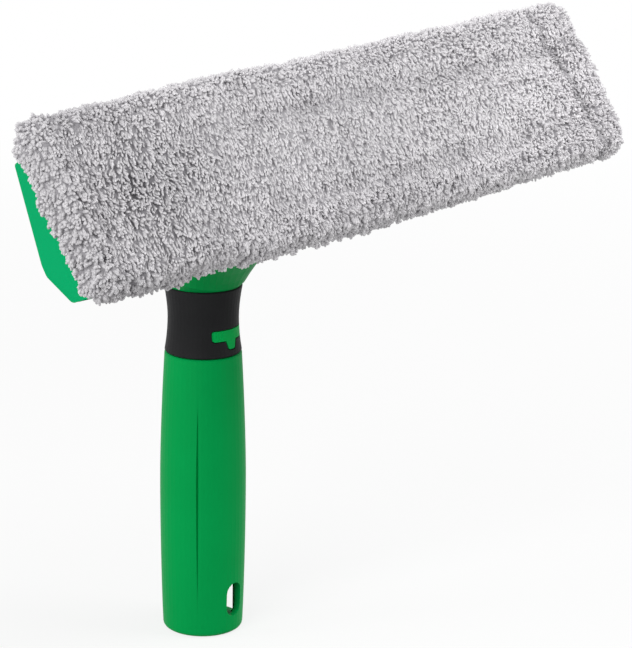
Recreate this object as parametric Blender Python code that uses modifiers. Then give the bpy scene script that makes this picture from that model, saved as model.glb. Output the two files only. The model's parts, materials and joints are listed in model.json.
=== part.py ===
# Window scrubber and squeegee: a wedge-shaped head with a microfibre pad on the front and a rubber blade
# on the top back edge, pulled off a short grip with a T-shaped release button.
# Units are metres, +Z runs up the grip from its foot, the pad faces -Y and the head runs along X.

import math

import bmesh
import bpy
from mathutils import Matrix, Vector

MM = 0.001
GAP = 0.3 * MM  # clearance between neighbouring solids
SPARE = 1.0 * MM  # how far a cutting tool runs past the surface it cuts
HAIR = 0.01 * MM  # keeps the faces of two cutting tools apart
MERGE = 0.001 * MM  # points closer than this become one
ROUND_STEPS = 48  # sides of the large turned pieces
NECK_STEPS = 40
TANG_STEPS = 32
SMALL_STEPS = 16  # sides of screws and their holes

# Grip shell
GRIP_LENGTH = 129.0 * MM
FOOT_RADIUS = 17.9 * MM
FOOT_EDGE_RADIUS = 2.2 * MM
BELLY_RADIUS = 19.2 * MM
BELLY_HEIGHT = 70.0 * MM
GRIP_TOP_RADIUS = 17.1 * MM
GRIP_UPPER_CURVE = 1.6  # how late the upper part of the barrel draws in
GRIP_LOWER_CURVE = 2.0
GRIP_EDGE = 0.5 * MM
GRIP_STATIONS = 14
GROOVE_ANGLE = math.radians(57.5)  # each side of the front
GROOVE_DEPTH = 0.9 * MM
GROOVE_HALF_ANGLE = math.radians(36.0)
GROOVE_LENGTH = 102.0 * MM
GROOVE_CENTRE_HEIGHT = 63.0 * MM
GROOVE_TOOL_HEIGHT = 4.0 * MM

# Hang slot: one mouth at the front, one at the +X side, and a pocket between them behind a corner bar
SLOT_WIDTH = 9.2 * MM
SLOT_LENGTH = 15.7 * MM
FRONT_SLOT_HEIGHT = 16.2 * MM
SIDE_SLOT_HEIGHT = 10.3 * MM
SIDE_SLOT_WIDTH = 11.0 * MM
SIDE_SLOT_CORNER = 2.0 * MM
SLOT_WALL = 2.4 * MM
SLOT_ROOM = 0.4 * MM  # how far the pocket is wider than the mouths, each side

# Core tube and the parts that hold it
CORE_RADIUS = 13.0 * MM
CORE_WALL = 3.0 * MM
CORE_FLOOR = 4.0 * MM
CORE_SEAT_HEIGHT = 36.3 * MM
CORE_SCREW_RADIUS = 1.6 * MM
CORE_SCREW_HEAD_RADIUS = 3.4 * MM
CORE_SCREW_HEAD_HEIGHT = 2.4 * MM
CORE_SCREW_LENGTH = 12.0 * MM
PILOT_ROOM = 1.5 * MM  # past the screw's tip
WASHER_RADIUS = 5.0 * MM
WASHER_THICKNESS = 1.0 * MM

# Soft collar sleeve
SEAM_GAP = 0.5 * MM
COLLAR_LENGTH = 29.8 * MM
COLLAR_BOTTOM_RADIUS = 17.1 * MM
COLLAR_WAIST_RADIUS = 15.7 * MM
COLLAR_WAIST_RISE = 15.5 * MM
COLLAR_TOP_RADIUS = 17.3 * MM
COLLAR_UPPER_CURVE = 1.7
COLLAR_LOWER_CURVE = 2.0
COLLAR_EDGE = 0.4 * MM
COLLAR_STATIONS = 10

# Release button
BUTTON_WIDTH = 18.2 * MM
BUTTON_BAR_HEIGHT = 4.6 * MM
BUTTON_CORNER = 0.8 * MM
BUTTON_BAR_RISE = 7.2 * MM  # bottom of the bar above the collar's bottom
STEM_LENGTH = 4.0 * MM
STEM_TOP_WIDTH = 6.0 * MM
STEM_TIP_WIDTH = 3.6 * MM
BUTTON_CLEARANCE = 0.45 * MM
BUTTON_TRAVEL = 2.0 * MM
BUTTON_STATIONS = 6
FACE_OVERLAP = 0.3 * MM  # how far the T's inner side lies behind the flange's front
FLANGE_WIDTH = 10.0 * MM
FLANGE_THICKNESS = 1.0 * MM
FLANGE_INSET = 1.1 * MM  # from the grip's bore to the flange's front
FLANGE_MARGIN = 2.1 * MM  # how far the flange reaches past the T, above and below

# Tang of the neck and its latch tongue
TANG_LENGTH = 53.6 * MM
TANG_INTO_NECK = 5.0 * MM
TANG_KEY_ROOT = 2.0 * MM
TANG_KEY_WIDTH = 4.0 * MM
TANG_KEY_DEPTH = 1.6 * MM
TONGUE_WIDTH = 8.0 * MM
TONGUE_THICKNESS = 1.4 * MM
TONGUE_DEPTH = 2.8 * MM  # from the tang's surface to the tongue's front
TONGUE_LENGTH = 33.0 * MM
TONGUE_FOOT_RISE = 7.0 * MM  # foot of the tongue above the tang's end
TONGUE_ROOT_LENGTH = 7.5 * MM
TONGUE_FLEX_ROOM = 2.2 * MM
CATCH_LENGTH = 7.1 * MM
CATCH_RAMP = 6.0 * MM
LATCH_SCREW_RADIUS = 1.4 * MM
LATCH_SCREW_HEAD_RADIUS = 2.3 * MM
LATCH_SCREW_HEAD_HEIGHT = 1.5 * MM
LATCH_SCREW_LENGTH = 6.0 * MM

# Neck
NECK_INSET = 0.5 * MM
NECK_RISE_PULL = 20.0 * MM
NECK_SEAT_PULL = 20.0 * MM
NECK_FLARE = 0.6  # below 1 the sides open out early
NECK_SEAT_WIDTH = 72.0 * MM
NECK_SEAT_HEIGHT = 22.4 * MM
NECK_SEAT_UP = -2.3 * MM  # centre of the seat on the wedge's back, from the pad's middle
NECK_SQUARENESS = 4.0
NECK_RINGS = 12
NECK_WALL = 3.2 * MM
NECK_HOLLOW_START = 0.34  # share of the way from the collar to the head
NECK_HOLLOW_RINGS = 7
NECK_BOSS_RADIUS = 4.4 * MM
NECK_BOSS_LENGTH = 16.0 * MM
NECK_BOSS_ROOT = 2.0 * MM

# Place of the head: the middle of the pad's front face
HEAD_FORWARD = 87.6 * MM
HEAD_RISE = 79.6 * MM  # above the collar's top
HEAD_TILT = math.radians(33.5)

# Scrubber pad and backing
PAD_LENGTH = 350.0 * MM
PAD_HEIGHT = 74.0 * MM
PAD_THICKNESS = 16.2 * MM
PAD_CROWN = 1.6 * MM
PAD_CORNER = 10.0 * MM
PAD_DRAW_IN = 2.8 * MM
PAD_CAGE_SPARE = 0.25 * MM  # what the smoothing takes off each side of the cage
PAD_LAYERS = (0.0, 5.0 * MM, 12.0 * MM, PAD_THICKNESS)
PAD_LAYER_DRAW = (1.0, 0.0, 0.1, 1.0)
PAD_COLUMNS = (0.84, 0.56, 0.28)  # places of the cage's columns, as shares of half the length
PAD_ROW = 0.36
PAD_CORNER_SHARE = 0.4
PAD_CROWN_CURVE = 2
PAD_END_CURVE = 8
BACKING_INSET = 7.0 * MM  # from the pad's edge
BACKING_LENGTH = PAD_LENGTH - 2.0 * BACKING_INSET
BACKING_HEIGHT = PAD_HEIGHT - 2.0 * BACKING_INSET
BACKING_THICKNESS = 1.5 * MM
BACKING_DEPTH = 13.8 * MM  # front of the backing behind the pad's front plane
BACKING_CORNER = 6.0 * MM

# Hook strips
STRIP_THICKNESS = 1.1 * MM
STRIP_INSET = 5.0 * MM  # from the backing's end
STRIP_LENGTH = BACKING_LENGTH - 2.0 * STRIP_INSET
STRIP_CLEARANCE = 1.0 * MM  # from a row of screw heads to an outer strip
MIDDLE_STRIP_CLEARANCE = 1.8 * MM
UPPER_STRIP_HEIGHT = 8.0 * MM
LOWER_STRIP_HEIGHT = 6.5 * MM

# Plate, wedge shell and end caps
PLATE_THICKNESS = 3.0 * MM
WEDGE_INSET = 6.0 * MM  # from the pad's end
WEDGE_TOP_INSET = 8.8 * MM
WEDGE_BOTTOM_INSET = 6.7 * MM
WEDGE_LENGTH = PAD_LENGTH - 2.0 * WEDGE_INSET
WEDGE_TOP = PAD_HEIGHT / 2 - WEDGE_TOP_INSET
WEDGE_BOTTOM = PAD_HEIGHT / 2 - WEDGE_BOTTOM_INSET
WEDGE_TOP_DEPTH = 26.5 * MM
WEDGE_LOW_DEPTH = 35.7 * MM
WEDGE_LOW = 9.4 * MM  # the thickest place, below the pad's middle
CHAMFER_TOP_DROP = 4.8 * MM
CHAMFER_DEPTH = 6.4 * MM
CHAMFER_LIP = 2.3 * MM  # from the chamfer's foot to the wedge's bottom
KNEE_STEP = 0.2 * MM
WEDGE_LOW_RADIUS = 9.0 * MM
KNEE_RADIUS = 4.0 * MM
CHAMFER_RADIUS = 3.0 * MM
SHELL_TIP_RADIUS = 3.0 * MM
SHELL_WALL = 2.4 * MM
CAP_FLANGE = 3.0 * MM
CAP_TIP_RADIUS = 1.2 * MM
CAP_LENGTH = 18.7 * MM
CAP_LUG_LENGTH = 6.5 * MM
CAP_LUG_HEIGHT = 16.0 * MM
CAP_LUG_THICKNESS = 4.0 * MM
BOSS_RADIUS = 3.6 * MM
BOSS_BITE = 0.6  # share of the wall that a boss runs into
FRONT_TRIM = 4.0 * MM

# Screw heads, as shares of the head's radius or height
DIMPLE_WIDTH = 0.45
DIMPLE_FLOOR = 0.35
HEAD_CROWN = 0.8
HEAD_SHOULDER = 0.6

# Screws of the head
PLATE_SCREW_RADIUS = 1.5 * MM
PLATE_SCREW_HEAD_RADIUS = 3.0 * MM
PLATE_SCREW_HEAD_HEIGHT = 1.6 * MM
UPPER_SCREW_LENGTH = 8.4 * MM
LOWER_SCREW_LENGTH = 12.0 * MM
UPPER_SCREW_DROP = 13.6 * MM  # below the wedge's top
LOWER_SCREW_RISE = 11.3 * MM  # above the wedge's bottom
INNER_SCREW_X = 90.0 * MM
CAP_SCREW_INSET = 11.0 * MM  # from the end of the head
NECK_SCREW_RADIUS = 1.7 * MM
NECK_SCREW_HEAD_RADIUS = 3.2 * MM
NECK_SCREW_HEAD_HEIGHT = 2.2 * MM
NECK_SCREW_LENGTH = 13.0 * MM
NECK_SCREW_SPREAD_X = 44.0 * MM
NECK_SCREW_SPREAD_UP = 8.0 * MM

# Squeegee channel, rubber and clips
CHANNEL_BASE = 1.4 * MM
CHANNEL_SIDE = 1.1 * MM
CHANNEL_WIDTH = 6.8 * MM
CHANNEL_HEIGHT = 6.8 * MM
CHANNEL_LIP = 1.6 * MM
CHANNEL_MOUTH = 2.4 * MM
CHANNEL_RISE = 3.3 * MM  # of its lips above the wedge's top
CHANNEL_LEG_DROP = 4.1 * MM  # of its leg's end below the upper screws
LEG_ROOM = 2.0 * MM
CHANNEL_LEG_THICKNESS = 1.6 * MM
RUBBER_WEB = 1.8 * MM
RUBBER_LIP = 2.6 * MM
RUBBER_TIP = 1.6 * MM
RUBBER_REACH = 6.3 * MM
CLIP_LENGTH = 3.0 * MM
CLIP_TOP_THICKNESS = 1.2 * MM

# Worked out from the sizes above
CORE_BORE = CORE_RADIUS - CORE_WALL
CORE_FOOT = CORE_SEAT_HEIGHT + GAP
SHELL_BORE = CORE_RADIUS + GAP
COLLAR_BOTTOM = GRIP_LENGTH + SEAM_GAP
COLLAR_TOP = COLLAR_BOTTOM + COLLAR_LENGTH
TANG_RADIUS = CORE_BORE - GAP
TANG_END = COLLAR_TOP + GAP - TANG_LENGTH
BAR_BOTTOM = COLLAR_BOTTOM + BUTTON_BAR_RISE
BAR_TOP = BAR_BOTTOM + BUTTON_BAR_HEIGHT
STEM_TIP = BAR_BOTTOM - STEM_LENGTH
FLANGE_FRONT = SHELL_BORE - FLANGE_INSET
FLANGE_BACK = FLANGE_FRONT - FLANGE_THICKNESS
BUTTON_INNER = FLANGE_FRONT - FACE_OVERLAP
FLANGE_BOTTOM = STEM_TIP - FLANGE_MARGIN
FLANGE_TOP = BAR_TOP + FLANGE_MARGIN
STRIP_FRONT = BACKING_DEPTH + BACKING_THICKNESS + GAP
PLATE_FRONT = STRIP_FRONT + STRIP_THICKNESS + GAP
PLATE_BACK = PLATE_FRONT + PLATE_THICKNESS
SHELL_FRONT = PLATE_BACK + GAP
WEDGE_HALF = WEDGE_LENGTH / 2
CAP_BLOCK_END = WEDGE_HALF - CAP_LENGTH
SHELL_HALF = CAP_BLOCK_END - GAP
BACK_SLOPE = (WEDGE_LOW_DEPTH - WEDGE_TOP_DEPTH) / (WEDGE_TOP + WEDGE_LOW)
BACK_ANGLE = math.atan(BACK_SLOPE)
KNEE_DEPTH = WEDGE_LOW_DEPTH + KNEE_STEP
KNEE_UP = -WEDGE_LOW - CHAMFER_TOP_DROP
CHAMFER_FOOT_UP = CHAMFER_LIP - WEDGE_BOTTOM
UPPER_SCREW_UP = WEDGE_TOP - UPPER_SCREW_DROP
LOWER_SCREW_UP = LOWER_SCREW_RISE - WEDGE_BOTTOM
MIDDLE_STRIP_LOW = LOWER_SCREW_UP + PLATE_SCREW_HEAD_RADIUS + MIDDLE_STRIP_CLEARANCE
MIDDLE_STRIP_HIGH = UPPER_SCREW_UP - PLATE_SCREW_HEAD_RADIUS - MIDDLE_STRIP_CLEARANCE
CHANNEL_TOP = WEDGE_TOP + CHANNEL_RISE
CHANNEL_LEG_END = UPPER_SCREW_UP - CHANNEL_LEG_DROP
CHANNEL_FRONT = SHELL_FRONT + GAP
CHANNEL_BASE_UP = CHANNEL_TOP - CHANNEL_HEIGHT
SHELL_TOP = CHANNEL_BASE_UP - GAP
CHANNEL_MIDDLE = CHANNEL_FRONT + CHANNEL_WIDTH / 2
LEG_BACK = CHANNEL_FRONT + CHANNEL_LEG_THICKNESS
CAP_SCREW_X = WEDGE_HALF - CAP_SCREW_INSET
HEAD_FRAME = (
    Matrix.Translation((0.0, -HEAD_FORWARD, COLLAR_TOP + HEAD_RISE)) @ Matrix.Rotation(-HEAD_TILT, 4, "X")
)


def new_collection(name):
    collection = bpy.data.collections.new(name)
    bpy.context.scene.collection.children.link(collection)
    return collection


def clear_scene():
    for item in list(bpy.data.objects):
        bpy.data.objects.remove(item, do_unlink=True)


clear_scene()
PARTS = new_collection("window_scrubber_squeegee")
CUTTERS = new_collection("cutters")


def material(name, colour, roughness, metallic=0.0):
    found = bpy.data.materials.get(name)
    if found:
        return found
    made = bpy.data.materials.new(name)
    made.use_nodes = True
    shader = made.node_tree.nodes["Principled BSDF"]
    shader.inputs["Base Color"].default_value = (*colour, 1.0)
    shader.inputs["Roughness"].default_value = roughness
    shader.inputs["Metallic"].default_value = metallic
    made.diffuse_color = (*colour, 1.0)
    return made


def grip_green(name):
    return material(name, (0.0, 0.27, 0.06), 0.42)


def collar_black(name):
    return material(name, (0.022, 0.022, 0.024), 0.62)


def steel(name):
    return material(name, (0.55, 0.56, 0.58), 0.32, 1.0)


def empty(name, matrix):
    item = bpy.data.objects.new(name, None)
    item.empty_display_size = 0.02
    PARTS.objects.link(item)
    item.matrix_world = matrix
    return item


def put(name, mesh, finish=None, parent=None, frame=None, cutter=False):
    """Links a mesh as an object. frame is its place under its parent, or in the world without one."""
    item = bpy.data.objects.new(name, mesh)
    (CUTTERS if cutter else PARTS).objects.link(item)
    if cutter:
        item.hide_render = True
        item.display_type = "WIRE"
    if finish:
        item.data.materials.clear()
        item.data.materials.append(finish)
    if parent:
        item.parent = parent
    item.matrix_basis = frame or Matrix.Identity(4)
    return item


def cutter(name, mesh, parent=None, frame=None):
    return put(name + "_cutter", mesh, parent=parent, frame=frame, cutter=True)


def boolean(item, other, operation):
    step = item.modifiers.new(operation.lower(), "BOOLEAN")
    step.operation = operation
    step.solver = "EXACT"
    step.object = other
    return item


def cut(item, *others):
    for other in others:
        boolean(item, other, "DIFFERENCE")
    return item


def join(item, *others):
    for other in others:
        boolean(item, other, "UNION")
    return item


def smooth(mesh, degrees=35.0):
    mesh.shade_smooth()
    mesh.set_sharp_from_angle(angle=math.radians(degrees))
    return mesh


def mesh_of(name, build):
    """A mesh from a function that fills a bmesh."""
    work = bmesh.new()
    build(work)
    bmesh.ops.recalc_face_normals(work, faces=work.faces)
    mesh = bpy.data.meshes.new(name)
    work.to_mesh(mesh)
    work.free()
    return smooth(mesh)


def rod_mesh(name, radius, low, high, steps=SMALL_STEPS):
    """A cylinder along Z from low to high."""

    def build(work):
        bmesh.ops.create_cone(
            work,
            cap_ends=True,
            segments=steps,
            radius1=radius,
            radius2=radius,
            depth=high - low,
            matrix=Matrix.Translation((0.0, 0.0, (low + high) / 2)),
        )

    return mesh_of(name, build)


def box_mesh(name, low, high):
    """A box between two corners."""
    centre = (Vector(low) + Vector(high)) / 2
    size = Vector(high) - Vector(low)

    def build(work):
        matrix = Matrix.Translation(centre) @ Matrix.Diagonal((*size, 1.0))
        bmesh.ops.create_cube(work, size=1.0, matrix=matrix)

    return mesh_of(name, build)


def arc(centre, radius, start, end, steps):
    """Points on an arc, with both ends. Angles are in radians."""
    turn = [start + (end - start) * step / steps for step in range(steps + 1)]
    return [(centre[0] + radius * math.cos(a), centre[1] + radius * math.sin(a)) for a in turn]


def rounded(corners, steps=4):
    """A closed outline through (x, y, radius) corners, each rounded to its radius."""
    outline = []
    for index, (x, y, radius) in enumerate(corners):
        here = Vector((x, y))
        if radius <= 0.0:
            outline.append((x, y))
            continue
        before = (Vector(corners[index - 1][:2]) - here).normalized()
        after = (Vector(corners[(index + 1) % len(corners)][:2]) - here).normalized()
        half = before.angle(after) / 2
        centre = here + (before + after).normalized() * (radius / math.sin(half))
        start = here + before * (radius / math.tan(half)) - centre
        sweep = before.angle_signed(after)
        turn = math.copysign(math.pi - abs(sweep), sweep)
        for step in range(steps + 1):
            spoke = Matrix.Rotation(turn * step / steps, 2) @ start
            outline.append(tuple(centre + spoke))
    return outline


def outline_mesh(name, outline, thickness, closed=True):
    """A flat outline in XY, filled and extruded by half its thickness each way. An open one is a strip."""
    curve = bpy.data.curves.new(name, "CURVE")
    curve.dimensions = "2D"
    curve.fill_mode = "BOTH" if closed else "NONE"
    curve.extrude = thickness / 2
    spline = curve.splines.new("POLY")
    spline.points.add(len(outline) - 1)
    for point, (x, y) in zip(spline.points, outline):
        point.co = (x, y, 0.0, 1.0)
    spline.use_cyclic_u = closed
    item = bpy.data.objects.new(name, curve)
    CUTTERS.objects.link(item)
    bpy.context.view_layer.update()
    graph = bpy.context.evaluated_depsgraph_get()
    mesh = bpy.data.meshes.new_from_object(item.evaluated_get(graph))
    bpy.data.objects.remove(item, do_unlink=True)
    bpy.data.curves.remove(curve)
    work = bmesh.new()
    work.from_mesh(mesh)
    bmesh.ops.remove_doubles(work, verts=work.verts, dist=MERGE)
    if closed:
        bmesh.ops.recalc_face_normals(work, faces=work.faces)
    work.to_mesh(mesh)
    work.free()
    return smooth(mesh)


ALONG_X = Matrix(((0, 0, 1, 0), (1, 0, 0, 0), (0, 1, 0, 0), (0, 0, 0, 1)))
ALONG_Y = Matrix(((1, 0, 0, 0), (0, 0, -1, 0), (0, 1, 0, 0), (0, 0, 0, 1)))


def prism_x(name, outline, low, high):
    """An outline in (y, z) that runs along X from low to high."""
    mesh = outline_mesh(name, outline, high - low)
    mesh.transform(Matrix.Translation(((low + high) / 2, 0.0, 0.0)) @ ALONG_X)
    return mesh


def prism_y(name, outline, low, high):
    """An outline in (x, z) that runs along Y from low to high."""
    mesh = outline_mesh(name, outline, high - low)
    mesh.transform(Matrix.Translation((0.0, (low + high) / 2, 0.0)) @ ALONG_Y)
    return mesh


def turned(name, profile, finish, steps=ROUND_STEPS, parent=None, frame=None, as_cutter=False, closed=False):
    """A Screw about Z of a profile of (radius, z) points, listed down the outer side."""
    mesh = bpy.data.meshes.new(name)
    count = len(profile)
    edges = [(index, index + 1) for index in range(count - 1)]
    if closed:
        edges.append((count - 1, 0))
    mesh.from_pydata([(radius, 0.0, z) for radius, z in profile], edges, [])
    if as_cutter:
        item = cutter(name, mesh, parent, frame)
    else:
        item = put(name, mesh, finish, parent, frame)
    screw = item.modifiers.new("turn", "SCREW")
    screw.axis = "Z"
    screw.angle = 2.0 * math.pi
    screw.steps = steps
    screw.render_steps = steps
    screw.use_merge_vertices = True
    screw.merge_threshold = MERGE
    screw.use_smooth_shade = True
    return item


def slot_outline(width, length, steps=8):
    """A slot with round ends, its length upright, centred on the origin."""
    radius = width / 2
    straight = length / 2 - radius
    upper = arc((0.0, straight), radius, 0.0, math.pi, steps)
    lower = arc((0.0, -straight), radius, math.pi, 2.0 * math.pi, steps)
    return upper + lower


def rounded_box(width, height, corner):
    """An upright rectangle with rounded corners, centred on the origin."""
    x, y = width / 2, height / 2
    return rounded([(x, y, corner), (-x, y, corner), (-x, -y, corner), (x, -y, corner)])


def grip_radius(height):
    """The barrel's radius at a height above the foot."""
    if height >= BELLY_HEIGHT:
        share = (height - BELLY_HEIGHT) / (GRIP_LENGTH - BELLY_HEIGHT)
        return BELLY_RADIUS - (BELLY_RADIUS - GRIP_TOP_RADIUS) * share**GRIP_UPPER_CURVE
    share = (BELLY_HEIGHT - height) / BELLY_HEIGHT
    return BELLY_RADIUS - (BELLY_RADIUS - FOOT_RADIUS) * share**GRIP_LOWER_CURVE


def collar_radius(height):
    """The waisted sleeve's radius at a height above the foot."""
    waist = COLLAR_BOTTOM + COLLAR_WAIST_RISE
    if height >= waist:
        share = (height - waist) / (COLLAR_TOP - waist)
        return COLLAR_WAIST_RADIUS + (COLLAR_TOP_RADIUS - COLLAR_WAIST_RADIUS) * share**COLLAR_UPPER_CURVE
    share = (waist - height) / COLLAR_WAIST_RISE
    return COLLAR_WAIST_RADIUS + (COLLAR_BOTTOM_RADIUS - COLLAR_WAIST_RADIUS) * share**COLLAR_LOWER_CURVE


def stations(low, high, count):
    return [low + (high - low) * step / count for step in range(count + 1)]


def back_depth(up):
    """Depth of the wedge's flat back, behind the pad's front plane, at a height on the pad plane."""
    return WEDGE_TOP_DEPTH + (WEDGE_TOP - up) * BACK_SLOPE


def head_matrix(x, depth, up):
    return Matrix.Translation((x, depth, up))


INTO_HEAD = Matrix.Rotation(math.radians(-90.0), 4, "X")  # turns +Z to point back into the head
FACING_FRONT = Matrix.Rotation(math.radians(90.0), 4, "X")  # turns +Z to -Y


def screw_profile(head_radius, head_height, radius, length, countersunk):
    """Down the outer side of a screw: a head with a dimple for the driver, above z 0, and a shank below."""
    top = [(0.0, head_height * DIMPLE_FLOOR), (head_radius * DIMPLE_WIDTH, head_height)]
    if countersunk:
        side = [(head_radius, head_height), (radius, 0.0)]
    else:
        side = [
            (head_radius * HEAD_CROWN, head_height),
            (head_radius, head_height * HEAD_SHOULDER),
            (head_radius, 0.0),
            (radius, 0.0),
        ]
    tip = [(radius, -length + radius), (0.0, -length)]
    return top + side + tip


def make_screws(names, profile, finish, frames, parent):
    """Screws that share one turned mesh."""
    first = turned(names[0], profile, finish, SMALL_STEPS, parent, frames[0])
    for name, frame in zip(names[1:], frames[1:]):
        copy = put(name, first.data, finish, parent, frame)
        for source in first.modifiers:
            step = copy.modifiers.new(source.name, source.type)
            for field in ("axis", "angle", "steps", "render_steps", "use_merge_vertices", "merge_threshold"):
                setattr(step, field, getattr(source, field))
            step.use_smooth_shade = True


# Handle

def grip_shell():
    foot = arc(
        (FOOT_RADIUS - FOOT_EDGE_RADIUS, FOOT_EDGE_RADIUS), FOOT_EDGE_RADIUS, 0.0, -math.pi / 2, 4
    )
    heights = stations(GRIP_LENGTH - GRIP_EDGE, FOOT_EDGE_RADIUS, GRIP_STATIONS)
    barrel = [(grip_radius(z), z) for z in heights[:-1]]
    profile = [(0.0, CORE_SEAT_HEIGHT), (SHELL_BORE, CORE_SEAT_HEIGHT), (SHELL_BORE, GRIP_LENGTH)]
    profile += [(GRIP_TOP_RADIUS - GRIP_EDGE, GRIP_LENGTH)] + barrel + foot + [(0.0, 0.0)]
    item = turned("grip_shell", profile, grip_green("grip_green"))
    cut(item, *hang_slot_cutters(), *groove_cutters(), core_pilot())
    return item


def hang_slot_cutters():
    reach = BELLY_RADIUS + 2.0 * SPARE
    room = SIDE_SLOT_WIDTH / 2 + SLOT_ROOM
    inner = FOOT_RADIUS - SLOT_WALL
    low = SIDE_SLOT_HEIGHT - SLOT_LENGTH / 2
    high = FRONT_SLOT_HEIGHT + SLOT_LENGTH / 2
    front = cutter(
        "front_slot",
        prism_y("front_slot", slot_outline(SLOT_WIDTH, SLOT_LENGTH), -reach, 0.0),
        frame=Matrix.Translation((0.0, 0.0, FRONT_SLOT_HEIGHT)),
    )
    side_outline = rounded_box(SIDE_SLOT_WIDTH, SLOT_LENGTH, SIDE_SLOT_CORNER)
    side_mesh = prism_y("side_slot", side_outline, -reach, 0.0)
    side_mesh.transform(Matrix.Rotation(math.radians(90.0), 4, "Z"))
    side = cutter("side_slot", side_mesh, frame=Matrix.Translation((0.0, 0.0, SIDE_SLOT_HEIGHT)))
    corner = box_mesh("pocket_corner", (-room, -reach, low), (reach, room, high))
    pocket = cutter("hang_pocket", rod_mesh("hang_pocket", inner, low - SPARE, high + SPARE, ROUND_STEPS))
    boolean(pocket, cutter("pocket_corner", corner), "INTERSECT")
    return pocket, front, side


def groove_cutters():
    """Two long V tools, each with its edge just under the barrel, so the groove fades out at both ends."""
    low = GROOVE_CENTRE_HEIGHT - GROOVE_LENGTH / 2
    high = GROOVE_CENTRE_HEIGHT + GROOVE_LENGTH / 2
    half_width = math.tan(GROOVE_HALF_ANGLE) * GROOVE_TOOL_HEIGHT
    outline = [(0.0, 0.0), (half_width, GROOVE_TOOL_HEIGHT), (-half_width, GROOVE_TOOL_HEIGHT)]
    middle_edge = grip_radius(GROOVE_CENTRE_HEIGHT) - GROOVE_DEPTH
    lean = math.atan2(grip_radius(high) - grip_radius(low), GROOVE_LENGTH)
    tools = []
    for side in (-1.0, 1.0):
        mesh = outline_mesh("groove", outline, GROOVE_LENGTH)
        frame = (
            Matrix.Rotation(side * GROOVE_ANGLE, 4, "Z")
            @ Matrix.Translation((0.0, -middle_edge, GROOVE_CENTRE_HEIGHT))
            @ Matrix.Rotation(lean, 4, "X")
            @ Matrix.Rotation(math.pi, 4, "Z")
        )
        tools.append(cutter("groove_left" if side < 0 else "groove_right", mesh, frame=frame))
    return tools


def core_pilot():
    depth = CORE_SCREW_LENGTH + PILOT_ROOM
    radius = CORE_SCREW_RADIUS + GAP
    mesh = rod_mesh("core_pilot", radius, CORE_SEAT_HEIGHT - depth, CORE_SEAT_HEIGHT + SPARE)
    return cutter("core_pilot", mesh)


def handle_core():
    floor_top = CORE_FOOT + CORE_FLOOR
    hole = CORE_SCREW_RADIUS + GAP
    top = COLLAR_TOP - GAP
    profile = [
        (hole, floor_top),
        (CORE_BORE, floor_top),
        (CORE_BORE, top),
        (CORE_RADIUS, top),
        (CORE_RADIUS, CORE_FOOT),
        (hole, CORE_FOOT),
    ]
    item = turned("handle_core", profile, material("core_grey", (0.10, 0.11, 0.11), 0.5), closed=True)
    key_half = TANG_KEY_WIDTH / 2 + GAP
    keyway = box_mesh(
        "keyway",
        (-key_half, 0.0, TANG_END - SPARE),
        (key_half, TANG_RADIUS + TANG_KEY_DEPTH + GAP, top + SPARE),
    )
    reach = CORE_RADIUS + SPARE
    bar_end = math.sqrt(BUTTON_INNER**2 - (BUTTON_WIDTH / 2) ** 2)
    window_back = bar_end - BUTTON_TRAVEL - 2.0 * GAP
    bar_half = BUTTON_WIDTH / 2 + 2.0 * GAP
    bar = box_mesh(
        "bar_window",
        (-bar_half, -reach, BAR_BOTTOM - BUTTON_CLEARANCE),
        (bar_half, -window_back, BAR_TOP + BUTTON_CLEARANCE),
    )
    flange_half = FLANGE_WIDTH / 2 + GAP
    flange = box_mesh(
        "flange_window",
        (-flange_half, -reach, FLANGE_BOTTOM - GAP),
        (flange_half, -window_back, FLANGE_TOP + GAP),
    )
    return cut(item, cutter("keyway", keyway), cutter("bar_window", bar), cutter("flange_window", flange))


def core_fasteners():
    seat = CORE_FOOT + CORE_FLOOR + GAP
    hole = CORE_SCREW_RADIUS + GAP
    ring = [
        (hole, seat + WASHER_THICKNESS),
        (WASHER_RADIUS, seat + WASHER_THICKNESS),
        (WASHER_RADIUS, seat),
        (hole, seat),
    ]
    turned("core_washer", ring, steel("washer_steel"), SMALL_STEPS, closed=True)
    under_head = seat + WASHER_THICKNESS + GAP
    length = CORE_SCREW_LENGTH + (under_head - CORE_SEAT_HEIGHT)
    profile = screw_profile(CORE_SCREW_HEAD_RADIUS, CORE_SCREW_HEAD_HEIGHT, CORE_SCREW_RADIUS, length, False)
    place = Matrix.Translation((0.0, 0.0, under_head))
    turned("core_screw", profile, steel("screw_steel"), SMALL_STEPS, frame=place)


def button_outline(margin):
    """The T in (x, z), grown all round by a margin."""
    half = BUTTON_WIDTH / 2 + margin
    stem = STEM_TOP_WIDTH / 2 + margin
    tip = STEM_TIP_WIDTH / 2 + margin
    low = BAR_BOTTOM - margin
    corner = BUTTON_CORNER + margin
    return rounded([
        (-half, BAR_TOP + margin, corner),
        (-half, low, corner),
        (-stem, low, 0.0),
        (-tip, STEM_TIP - margin, corner),
        (tip, STEM_TIP - margin, corner),
        (stem, low, 0.0),
        (half, low, corner),
        (half, BAR_TOP + margin, corner),
    ])


def collar_sleeve():
    heights = stations(COLLAR_TOP - COLLAR_EDGE, COLLAR_BOTTOM + COLLAR_EDGE, COLLAR_STATIONS)
    profile = [(SHELL_BORE, COLLAR_TOP), (COLLAR_TOP_RADIUS - COLLAR_EDGE, COLLAR_TOP)]
    profile += [(collar_radius(z), z) for z in heights]
    profile += [(COLLAR_BOTTOM_RADIUS - COLLAR_EDGE, COLLAR_BOTTOM), (SHELL_BORE, COLLAR_BOTTOM)]
    item = turned("collar_sleeve", profile, collar_black("collar_black"), closed=True)
    reach = COLLAR_BOTTOM_RADIUS + 2.0 * SPARE
    window = prism_y("button_window", button_outline(BUTTON_CLEARANCE), -reach, 0.0)
    return cut(item, cutter("button_window", window))


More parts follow.
